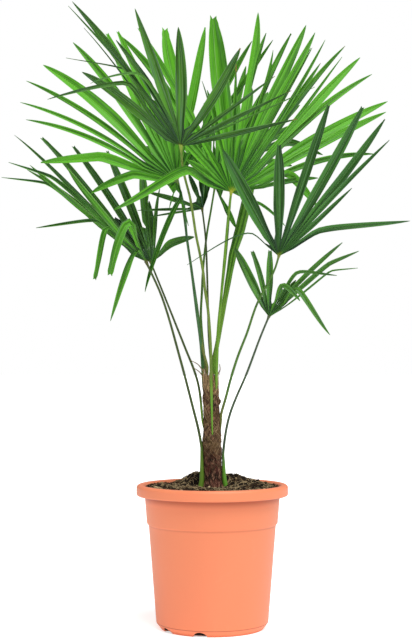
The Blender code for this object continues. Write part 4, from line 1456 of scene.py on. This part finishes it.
def floor_finish():
    """White floor: it looks whiter than the light it throws up, so shadows on it stay faint."""
    finish = Finish("studio_floor", 0.9, 0.1)
    finish.shader.inputs["Emission Strength"].default_value = FLOOR_GLOW
    grain = finish.noise(40.0)
    seen = finish.add("ShaderNodeLightPath")
    return finish.feed(
        Base_Color=finish.mix(grain, grey(0.94), grey(0.96)),
        Emission_Color=finish.mix(seen, grey(FLOOR_LIGHT), grey(1.0)),
    )


# Pieces.


def arc(radius, height, bend, start, end, steps):
    """Points of a profile round a corner's middle, from one angle to another in degrees."""
    points = []
    for i in range(steps + 1):
        angle = math.radians(start + (end - start) * i / steps)
        points.append((radius + bend * math.cos(angle), height + bend * math.sin(angle)))
    return points


def pot_profile():
    """From the middle of the inner floor, up the inner wall, over the rim and down the outside."""
    top = POT_HEIGHT - RIM_ROUND
    lip_end = POT_HEIGHT - RIM_DEPTH
    inside = (POT_FLOOR, FOOT_HEIGHT, STEP_HEIGHT - STEP_WIDTH, STEP_HEIGHT + STEP_WIDTH, top)
    return [
        (0.0, POT_FLOOR),
        *((inner_wall(height), height) for height in inside),
        *arc(NECK_RADIUS + RIM_ROUND, top, RIM_ROUND, 170, 90, 6),
        *arc(RIM_RADIUS - RIM_ROUND, top, RIM_ROUND, 90, 0, 8),
        *arc(RIM_RADIUS - LIP_ROUND, lip_end + LIP_ROUND, LIP_ROUND, 0, -90, 6),
        (RIM_RADIUS - RIM_LIP, lip_end),
        (RIM_RADIUS - RIM_LIP, POT_HEIGHT - COLLAR_DEPTH),
        (NECK_RADIUS + COLLAR_WIDTH, POT_HEIGHT - COLLAR_DEPTH),
        (NECK_RADIUS, lip_end),
        (STEP_RADIUS + 0.2 * MM, STEP_HEIGHT + 0.9 * STEP_WIDTH),
        (STEP_RADIUS - 0.5 * MM, STEP_HEIGHT + 0.4 * STEP_WIDTH),
        (STEP_RADIUS - STEP_WIDTH + 0.6 * MM, STEP_HEIGHT - 0.3 * STEP_WIDTH),
        (STEP_RADIUS - STEP_WIDTH, STEP_HEIGHT - 0.8 * STEP_WIDTH),
        (FOOT_RADIUS + 0.15 * MM, FOOT_HEIGHT + 0.8 * MM),
        (FOOT_RADIUS - 0.4 * MM, FOOT_HEIGHT - 0.5 * MM),
        (BASE_RADIUS + BASE_CHAMFER[0], BASE_CHAMFER[1]),
        (BASE_RADIUS, 0.0),
        (0.0, 0.0),
    ]


def make_pot(sides):
    points = [Vector((radius, 0.0, height)) for radius, height in pot_profile()]
    edges = [(i, i + 1) for i in range(len(points) - 1)]
    guide = link("pot_turned", mesh_from("pot_profile", points, edges, []))
    screw = guide.modifiers.new("turn", "SCREW")
    screw.steps = sides
    screw.render_steps = sides
    screw.use_merge_vertices = True
    screw.merge_threshold = MERGE
    start, end = NOTCH_REACH
    bm = bmesh.new()
    for angle in NOTCH_ANGLES:
        turn = Matrix.Rotation(math.radians(angle), 4, "Z")
        place = Matrix.Translation((0.5 * (start + end), 0.0, -NOTCH_DROP))
        lay = Matrix.Rotation(math.radians(90.0), 4, "Y")
        bmesh.ops.create_cone(
            bm, cap_ends=True, segments=NOTCH_SIDES, radius1=NOTCH_RADIUS,
            radius2=NOTCH_RADIUS, depth=end - start, matrix=turn @ place @ lay,
        )
    tool = bpy.data.meshes.new("drain_notches")
    bm.to_mesh(tool)
    bm.free()
    cutter = link("drain_notches", tool)
    cut = guide.modifiers.new("drain", "BOOLEAN")
    cut.operation = "DIFFERENCE"
    cut.object = cutter
    mesh = finished_mesh(guide, "pot_body")
    bpy.data.objects.remove(cutter, do_unlink=True)
    bpy.data.meshes.remove(tool)
    tidy_mesh(mesh, POT_SHARP)
    return add_piece("pot_body", mesh, "pot_plastic", "pot", material=pot_finish())


def soil_bump(x, y, height):
    """The soil's surface with its bumps, which fade out under the trunk."""
    away = eased(math.hypot(x - TRUNK_FOOT_X, y), *BUMP_START)
    place = Vector((x, y, 0.0)) / MM
    rough = sum(rise * noise.noise(place / size) for rise, size in BUMPS)
    edge = 1.0 - BUMP_LOSS * eased(math.hypot(x, y), *BUMP_END)
    return height + rough * MM * away * edge


def bumpy_height(x, y):
    return soil_bump(x, y, soil_height(x, y))


def make_soil(rings, sectors):
    """The bed of soil, from a bumpy top down the pot's wall to its floor. Gives its top."""
    rim = inner_wall(SOIL_EDGE) - SOIL_CLEARANCE
    corners = (STEP_HEIGHT + STEP_WIDTH, STEP_HEIGHT - STEP_WIDTH, FOOT_HEIGHT, POT_FLOOR + GAP)
    walls = [(inner_wall(height) - SOIL_CLEARANCE, height) for height in corners]
    total = rings + len(walls)
    points = [Vector((0.0, 0.0, soil_height(0.0, 0.0)))]
    for ring in range(1, total + 1):
        if ring <= rings:
            radius = rim * ring / rings
        else:
            radius, height = walls[ring - rings - 1]
        for sector in range(sectors):
            angle = math.tau * sector / sectors
            x, y = radius * math.cos(angle), radius * math.sin(angle)
            if ring <= rings:
                height = bumpy_height(x, y) if ring < rings else soil_height(x, y)
            points.append(Vector((x, y, height)))
    faces = [(0, 1 + i, 1 + (i + 1) % sectors) for i in range(sectors)]
    for ring in range(total - 1):
        first = 1 + ring * sectors
        for i in range(sectors):
            j = (i + 1) % sectors
            faces.append((first + i, first + sectors + i, first + sectors + j, first + j))
    last = 1 + (total - 1) * sectors
    faces.append(tuple(last + i for i in reversed(range(sectors))))
    mesh = mesh_from("soil_bed", points, [], faces)
    tidy_mesh(mesh, SOIL_SHARP)
    add_piece("soil_bed", mesh, "potting_soil", "soil", material=soil_finish("potting_soil"))
    return mesh_from("soil_top", points[:1 + rings * sectors], [], [
        face for face in faces if max(face) < 1 + (rings - 1) * sectors
        and min(points[i].xy.length for i in face) > BARE_RADIUS
    ])


def strew(top, name):
    """Crumbs or lumps over the soil's top."""
    density, least, most, detail, seed = STREWN[name]
    shape = crumb_shape()
    values = {
        "Density": density, "Least": least * MM, "Most": most * MM, "Seed": seed,
        "Detail": detail, "Finish": soil_finish(name),
    }
    mesh = shape.run(link(name + "_ground", top.copy()), values, name)
    mesh.shade_smooth()
    return add_piece(name, mesh, "potting_soil")


def tapering(size, loss, count):
    """Radii that shrink evenly from a size by a share of it."""
    return [size * (1.0 - loss * i / (count - 1)) for i in range(count)]


class Strands:
    """Round limbs along lines, with a radius and one more number at each point."""

    def __init__(self, label):
        self.lines = []
        self.radii = []
        self.label = label
        self.numbers = []

    def add(self, line, radii, numbers):
        self.lines.append(line)
        self.radii += radii
        self.numbers += numbers

    def piece(self, name, sides, finish, slot, *nodes):
        attributes = {"thick": self.radii, self.label: self.numbers}
        guide = link(name + "_lines", polyline_mesh(name + "_lines", self.lines, attributes))
        mesh = limb_shape().run(guide, {"Sides": sides, "Finish": finish}, name)
        tidy_mesh(mesh, LIMB_SHARP, LIMB_MERGE)
        return add_piece(name, mesh, slot, *nodes)


def make_straw(count):
    """Thin dry straws, root hairs and chips of wood lying on the soil."""
    dice = random.Random(STRAW_SEED)
    strands = Strands("tone")
    last = STRAW_POINTS - 1
    most = inner_wall(SOIL_EDGE) - STRAW_INSET
    for _ in range(count):
        angle = dice.uniform(0.0, math.tau)
        radius = dice.uniform(*STRAW_OUT) * MM
        x, y = radius * math.cos(angle), radius * math.sin(angle)
        heading = dice.uniform(0.0, math.tau)
        length = dice.uniform(*STRAW_LENGTH) * MM
        bend = dice.uniform(-STRAW_BEND, STRAW_BEND)
        size = dice.uniform(*STRAW_RADIUS) * MM
        rise = dice.uniform(*STRAW_RISE) * MM
        line = []
        for i in range(STRAW_POINTS):
            share = i / last
            direction = heading + bend * share
            x += length / last * math.cos(direction)
            y += length / last * math.sin(direction)
            reach = math.hypot(x, y)
            if reach > most:
                x, y = x * most / reach, y * most / reach
            height = bumpy_height(x, y) + STRAW_LIFT + rise * math.sin(math.pi * share)
            line.append(Vector((x, y, height)))
        radii = tapering(size, STRAW_THIN, STRAW_POINTS)
        strands.add(line, radii, [dice.random()] * STRAW_POINTS)
    count = len(CHIP_WIDTHS)
    for x, y, heading, length, size in CHIPS:
        line = []
        for i in range(count):
            out = (i / (count - 1) - 0.5) * length * MM
            px = x * MM + out * math.cos(heading)
            py = y * MM + out * math.sin(heading)
            line.append(Vector((px, py, bumpy_height(px, py) + CHIP_LIFT * size * MM)))
        strands.add(line, [size * MM * width for width in CHIP_WIDTHS], [1.0] * count)
    finish = fibre_finish("straw", screen(70, 46, 26), screen(220, 194, 148))
    return strands.piece("soil_straw", 5, finish, "potting_soil")


def bark_radius(angle, height):
    """The trunk's radius with its worn leaf bases, which overlap like sleeves."""
    _, radius = trunk_axis(height)
    above = (height - GROUND) / MM
    turn = angle / math.tau
    sleeve = (above / SLEEVE_PITCH + turn + SLEEVE_WAVE * math.sin(2.0 * angle)) % 1.0
    ledge = LEDGE * sleeve ** LEDGE_POWER - LEDGE_INSET
    across, up = BARK_GRAIN
    spot = Vector((math.cos(angle) * across, math.sin(angle) * across, above / up))
    rough = sum(rise * noise.noise(spot * finer) for rise, finer in BARK_ROUGH)
    ease = eased(above, 0.0, FOOT_EASE) * (1.0 - CROWN_LOSS * eased(above, *CROWN_EASE))
    stub = 0.0
    for at, high, size, reach in STUBS:
        apart = math.atan2(math.sin(angle - at), math.cos(angle - at)) / STUB_SPREAD
        stub += size * math.exp(-apart * apart - ((above - high) / reach) ** 2)
    return radius + (ledge + rough + stub) * MM * ease


def make_trunk(rows, sides):
    """The trunk's bark, from the soil to the crown, with a closed top and foot."""
    foot = GROUND + GAP
    points = []
    for row in range(rows + 1):
        height = foot + (TRUNK_TOP - GROUND - GAP) * row / rows
        middle, _ = trunk_axis(height)
        for side in range(sides):
            angle = math.tau * side / sides
            points.append(middle + outwards(angle) * bark_radius(angle, height))
    faces, corners = tube_wall(rows, sides)
    for row, order, height in ((0, -1, foot), (rows, 1, TRUNK_TOP)):
        ring = [row * sides + side for side in range(sides)][::order]
        centre = len(points)
        points.append(trunk_axis(height)[0])
        for i, place in enumerate(ring):
            faces.append((centre, place, ring[(i + 1) % sides]))
            corners += [(0.5, row / rows)] * 3
    mesh = mapped_mesh("trunk_bark", points, faces, "bark", corners)
    mesh.shade_smooth()
    return add_piece("trunk_bark", mesh, "trunk_bark", "trunk", material=bark_finish())


def make_fibres(count):
    """Strands of old leaf base that cross each other round the trunk, and loose hairs."""
    dice = random.Random(FIBRE_SEED)
    strands = Strands("tone")
    for _ in range(count):
        angle = dice.uniform(0.0, math.tau)
        above = dice.uniform(*FIBRE_START)
        slope = dice.choice((-1.0, 1.0)) * dice.uniform(*FIBRE_SLOPE)
        length = dice.uniform(*FIBRE_LENGTH)
        loose = 1.0 if dice.random() < LOOSE_CHANCE else 0.0
        size = dice.uniform(*FIBRE_RADIUS) * MM
        lift = dice.uniform(*FIBRE_LIFT) * MM
        wave = dice.uniform(0.0, math.tau)
        line = []
        for i in range(FIBRE_POINTS):
            share = i / (FIBRE_POINTS - 1)
            climb = above + length * share * FIBRE_CLIMB
            height = GROUND + min(max(climb, FIBRE_REACH[0]), FIBRE_REACH[1]) * MM
            turn = angle + slope * share * length / FIBRE_ROUND
            turn += FIBRE_WAVE * math.sin(wave + FIBRE_WAVES * share)
            middle, _ = trunk_axis(height)
            off = bark_radius(turn, height) + lift
            off += loose * share ** 2 * dice.uniform(*FIBRE_LOOSE) * MM
            line.append(middle + outwards(turn) * off)
        tone = dice.random() ** 2 * (0.25 + 0.75 * above / TRUNK_HEIGHT)
        strands.add(line, tapering(size, FIBRE_THIN, FIBRE_POINTS), [tone] * FIBRE_POINTS)
    for _ in range(count // 3):
        # Ragged straw round the stalks where they leave the trunk.
        angle = dice.uniform(0.0, math.tau)
        above = dice.uniform(*RAGGED_START)
        length = dice.uniform(*RAGGED_LENGTH)
        out = bark_radius(angle, GROUND + above * MM) + dice.uniform(*RAGGED_OFF) * MM
        slope = dice.uniform(-RAGGED_SLOPE, RAGGED_SLOPE)
        spread = dice.uniform(*RAGGED_SPREAD) * MM
        top = TRUNK_HEIGHT + dice.uniform(*RAGGED_END)
        size = dice.uniform(*RAGGED_RADIUS) * MM
        last = RAGGED_POINTS - 1
        line = []
        for i in range(RAGGED_POINTS):
            share = i / last
            height = GROUND + min(above + length * share, top - RAGGED_STEP * (last - i)) * MM
            middle, _ = trunk_axis(min(height, TRUNK_TOP))
            place = Vector((middle.x, middle.y, height))
            line.append(place + outwards(angle + slope * share) * (out + spread * share ** 2))
        tone = dice.uniform(*RAGGED_TONE)
        strands.add(line, tapering(size, RAGGED_THIN, RAGGED_POINTS), [tone] * RAGGED_POINTS)
    for way in THREADS:
        line = smooth_way([seen_at(x, y, 0.0) for x, y in way], THREAD_STEP)
        count = len(line)
        radii = [(1.0 - RAGGED_THIN * i / count) * MM for i in range(count)]
        strands.add(line, radii, [THREAD_TONE] * count)
    finish = fibre_finish("trunk_fibre", screen(44, 22, 18), screen(222, 188, 140))
    return strands.piece("trunk_fibres", 4, finish, "trunk_bark")


def make_stalk(name, sides):
    petiole = PETIOLES[name]
    strands = Strands("along")
    strands.add(*stalk_way(name, petiole))
    finish = stalk_finish(name, petiole.hue)
    return strands.piece("stalk_" + name, sides, finish, "stalk_" + name, "petiole_" + name)


def spear_finish():
    """Young leaf: painted light and shade on the flanks of its pleats, which give way to a yellower
    stalk.
    """
    finish = Finish("spear_leaf", 0.4, 0.2)
    around, up = finish.uv("spear")
    # Painted light and shade: the stripes follow the folds a quarter pleat aside, so one flank of
    # each pleat is lighter and the other darker.
    pleats = finish.wave(around * 44.0 + up * 3.0)
    clouds = finish.noise(30.0, 3.0)
    level = pleats * 0.8 + clouds * 0.6 - 0.2
    colour = finish.layered(
        finish.mix(level, screen(30, 78, 2), screen(112, 168, 58)),
        (finish.smooth(up, *SPEAR_STALK) * 0.6, screen(112, 150, 50)),
    )
    return finish.feed(
        Base_Color=colour, Roughness=0.36 + clouds * 0.14,
        Normal=finish.bump(pleats, 0.0006, 0.6),
    )


def make_spear(rows, sides):
    """The young leaf, still shut: a bundle of pleats round its stalk."""
    feet = foot_points(SPEAR_FOOT, SPEAR_FOOT_RADIUS)
    points = [seen_at(px, py, depth * MM) for px, py, depth, _ in SPEAR] + feet
    radii = [radius * MM for _, _, _, radius in SPEAR] + [SPEAR_FOOT_RADIUS] * len(feet)
    runs = runs_along(points)
    rings = []
    for row in range(rows + 1):
        run = runs[-1] * row / rows
        i = max(k for k in range(len(runs) - 1) if runs[k] <= run + 1e-9)
        share = (run - runs[i]) / (runs[i + 1] - runs[i])
        place = points[i].lerp(points[i + 1], share)
        radius = radii[i] + (radii[i + 1] - radii[i]) * eased(share, 0.0, 1.0)
        along = (points[i + 1] - points[i]).normalized()
        across = along.cross(Vector((0.0, 1.0, 0.0))).normalized()
        out = across.cross(along)
        pleat = SPEAR_PLEAT * (1.0 - eased(row / rows, *SPEAR_STALK))
        for side in range(sides):
            angle = math.tau * side / sides
            fold = 0.5 + 0.5 * math.cos(SPEAR_PLEATS * angle + SPEAR_TURN * row / rows)
            aside = across * math.cos(angle) + out * math.sin(angle) * SPEAR_FLAT
            rings.append(place + aside * (radius * (1.0 - pleat * fold)))
    faces, corners = tube_wall(rows, sides)
    for row in (0, rows):
        faces.append(tuple(row * sides + side for side in range(sides)))
        corners += [(side / sides, row / rows) for side in range(sides)]
    mesh = mapped_mesh("spear_leaf", rings, faces, "spear", corners)
    tidy_mesh(mesh, SPEAR_SHARP, SPEAR_MERGE)
    return add_piece("spear_leaf_shut", mesh, "spear_leaf", "spear_leaf", material=spear_finish())


def make_blades(name, seed, columns, bow, thickness):
    """One frond's leaflets, joined round its hub, in place of its solid."""
    frond = FRONDS[name]
    guide = link("leaflet_guide", leaflet_lines(frond, seed))
    mesh = leaflet_shape().run(guide, {
        "Columns": columns, "Bow": bow, "Joint": BLADE_JOINT,
        "Finish": blade_finish(name, frond.hue),
    }, "blades_" + name)
    for label in ("spine", "left", "right", "facing", "notch", "across", "share"):
        layer = mesh.attributes.get(label)
        if layer:
            mesh.attributes.remove(layer)
    tidy_mesh(mesh, SHEET_SHARP)
    mesh = thickened(mesh, thickness, "blades_" + name)
    return add_piece("blades_" + name, mesh, "blade_" + name, "frond_" + name)


# Add-on.


class PalmPotSettings(bpy.types.PropertyGroup):
    sides: IntProperty(
        name="Pot sides", description="Faces round the pot", default=160, min=24, max=400,
    )


class PalmSoilSettings(bpy.types.PropertyGroup):
    rings: IntProperty(
        name="Rings", description="Rings of the soil's surface", default=70, min=20, max=140,
    )
    sectors: IntProperty(
        name="Sectors", description="Faces round the soil", default=180, min=48, max=400,
    )
    straws: IntProperty(
        name="Straws", description="Dry straws on the soil", default=480, min=0, max=2000,
    )


class PalmTrunkSettings(bpy.types.PropertyGroup):
    rows: IntProperty(
        name="Rows", description="Rings up the trunk", default=150, min=20, max=400,
    )
    sides: IntProperty(
        name="Sides", description="Faces round the trunk", default=90, min=16, max=256,
    )
    fibres: IntProperty(
        name="Fibres", description="Strands round the trunk", default=620, min=0, max=4000,
    )


class PalmLeafSettings(bpy.types.PropertyGroup):
    columns: IntProperty(
        name="Columns", description="Points across a leaflet", default=7, min=3, max=15,
    )
    bow: FloatProperty(
        name="Bow", description="How far each half of a leaflet bellies", default=0.35,
    )
    thickness: FloatProperty(
        name="Thickness", description="Thickness of a leaflet", default=0.45 * MM,
        subtype="DISTANCE", unit="LENGTH", precision=5,
    )
    sides: IntProperty(
        name="Stalk sides", description="Faces round a stalk", default=14, min=6, max=48,
    )
    seed: IntProperty(
        name="Seed", description="Starts the small chances of each frond", default=11,
    )


class PalmStageSettings(bpy.types.PropertyGroup):
    key: FloatProperty(
        name="Key light", description="Strength of the soft light above", default=2.62,
    )
    sky: FloatProperty(name="Sky", description="Light from all round", default=0.35)
    white: FloatVectorProperty(
        name="Backdrop", description="Colour behind the plant", default=(1.0, 1.0, 1.0),
        subtype="COLOR",
    )


class PALM_OT_pot(bpy.types.Operator):
    """Turn the pot, with its rolled rim, step, foot and drain notches"""
    bl_idname = "palm.pot"
    bl_label = "Pot"

    def execute(self, context):
        make_pot(context.scene.palm_pot.sides)
        return {"FINISHED"}


class PALM_OT_soil(bpy.types.Operator):
    """Lay the soil with its crumbs, chips and straws"""
    bl_idname = "palm.soil"
    bl_label = "Soil"

    def execute(self, context):
        settings = context.scene.palm_soil
        top = make_soil(settings.rings, settings.sectors)
        for name in STREWN:
            strew(top, name)
        make_straw(settings.straws)
        bpy.data.meshes.remove(top)
        return {"FINISHED"}


class PALM_OT_trunk(bpy.types.Operator):
    """Build the trunk's bark and the fibres that cross round it"""
    bl_idname = "palm.trunk"
    bl_label = "Trunk"

    def execute(self, context):
        settings = context.scene.palm_trunk
        make_trunk(settings.rows, settings.sides)
        make_fibres(settings.fibres)
        return {"FINISHED"}


class PALM_OT_stalks(bpy.types.Operator):
    """Grow a stalk from the trunk to each frond"""
    bl_idname = "palm.stalks"
    bl_label = "Stalks"

    def execute(self, context):
        for name in PETIOLES:
            make_stalk(name, context.scene.palm_leaf.sides)
        return {"FINISHED"}


class PALM_OT_spear(bpy.types.Operator):
    """Fold the young leaf that is still shut"""
    bl_idname = "palm.spear"
    bl_label = "Spear leaf"

    def execute(self, context):
        make_spear(SPEAR_ROWS, SPEAR_SIDES)
        return {"FINISHED"}


class PALM_OT_blades(bpy.types.Operator):
    """Spread the leaflets of every frond"""
    bl_idname = "palm.blades"
    bl_label = "Leaflets"

    def execute(self, context):
        settings = context.scene.palm_leaf
        sheet = (settings.columns, settings.bow, settings.thickness)
        for i, name in enumerate(FRONDS):
            make_blades(name, settings.seed + i, *sheet)
        return {"FINISHED"}


class PALM_OT_stage(bpy.types.Operator):
    """Set the floor, the lights and the camera"""
    bl_idname = "palm.stage"
    bl_label = "Stage"

    def execute(self, context):
        make_stage(context.scene)
        return {"FINISHED"}


class PALM_PT_panel(bpy.types.Panel):
    """The palm's pieces and their settings"""
    bl_idname = "PALM_PT_panel"
    bl_label = "Windmill palm"
    bl_space_type = "VIEW_3D"
    bl_region_type = "UI"
    bl_category = "Palm"

    def draw(self, context):
        for group, operators in PANEL_ROWS:
            box = self.layout.box()
            settings = getattr(context.scene, group)
            for label in settings.__annotations__:
                box.prop(settings, label)
            for operator in operators:
                box.operator(operator)


PANEL_ROWS = (
    ("palm_pot", ("palm.pot",)),
    ("palm_soil", ("palm.soil",)),
    ("palm_trunk", ("palm.trunk",)),
    ("palm_leaf", ("palm.stalks", "palm.spear", "palm.blades")),
    ("palm_stage", ("palm.stage",)),
)
SETTINGS = {
    "palm_pot": PalmPotSettings,
    "palm_soil": PalmSoilSettings,
    "palm_trunk": PalmTrunkSettings,
    "palm_leaf": PalmLeafSettings,
    "palm_stage": PalmStageSettings,
}
CLASSES = (
    *SETTINGS.values(),
    PALM_OT_pot, PALM_OT_soil, PALM_OT_trunk, PALM_OT_stalks, PALM_OT_spear, PALM_OT_blades,
    PALM_OT_stage, PALM_PT_panel,
)


def add_light(name, side, height, spread, strength):
    """A broad, even light from a bearing to the right of the camera and a height, in degrees."""
    light = bpy.data.lights.new(name, "SUN")
    light.angle = math.radians(spread)
    light.energy = strength
    obj = link(name, light)
    bearing = math.radians(side)
    rise = math.radians(height)
    level = math.cos(rise)
    source = Vector((math.sin(bearing) * level, -math.cos(bearing) * level, math.sin(rise)))
    obj.location = source * KEY_DISTANCE
    obj.rotation_euler = (-source).to_track_quat("-Z", "Y").to_euler()


def make_stage(scene):
    """A pale floor, soft light from above, a white world and the photograph's camera."""
    settings = scene.palm_stage
    bm = bmesh.new()
    bmesh.ops.create_circle(bm, cap_ends=True, segments=FLOOR_SIDES, radius=FLOOR_REACH)
    mesh = bpy.data.meshes.new("studio_floor")
    bm.to_mesh(mesh)
    bm.free()
    floor = link("studio_floor", mesh)
    mesh.materials.append(floor_finish())

    # The world is white where it is seen and dimmer as a light.
    world = bpy.data.worlds.new("studio")
    scene.world = world
    world.use_nodes = True
    ray = Graph(world.node_tree).add("ShaderNodeLightPath")
    strength = settings.sky + ray * (1.0 - settings.sky)
    back = world.node_tree.nodes["Background"]
    back.inputs["Color"].default_value = (*settings.white, 1.0)
    world.node_tree.links.new(strength.socket, back.inputs["Strength"])

    add_light("key_light", KEY_BEARING, KEY_HEIGHT, KEY_SPREAD, settings.key)

    data = bpy.data.cameras.new("camera")
    data.sensor_width = SENSOR_MM
    data.sensor_fit = "AUTO"
    data.lens = FOCAL_PX * SENSOR_MM / max(FRAME_PX)
    data.shift_x = -(AXIS_PX - 0.5 * FRAME_PX[0]) / max(FRAME_PX)
    data.shift_y = (HORIZON_PX - 0.5 * FRAME_PX[1]) / max(FRAME_PX)
    camera = link("camera", data)
    camera.location = EYE
    camera.rotation_euler = (math.radians(90.0), 0.0, 0.0)
    scene.camera = camera
    scene.view_settings.view_transform = "Standard"


def register():
    for item in CLASSES:
        bpy.utils.register_class(item)
    for name, group in SETTINGS.items():
        setattr(bpy.types.Scene, name, PointerProperty(type=group))


def unregister():
    for name in SETTINGS:
        delattr(bpy.types.Scene, name)
    for item in reversed(CLASSES):
        bpy.utils.unregister_class(item)


def main():
    register()
    bpy.ops.palm.stage()
    bpy.ops.palm.pot()
    bpy.ops.palm.soil()
    bpy.ops.palm.trunk()
    bpy.ops.palm.stalks()
    bpy.ops.palm.spear()
    bpy.ops.palm.blades()


if __name__ == "__main__":
    main()
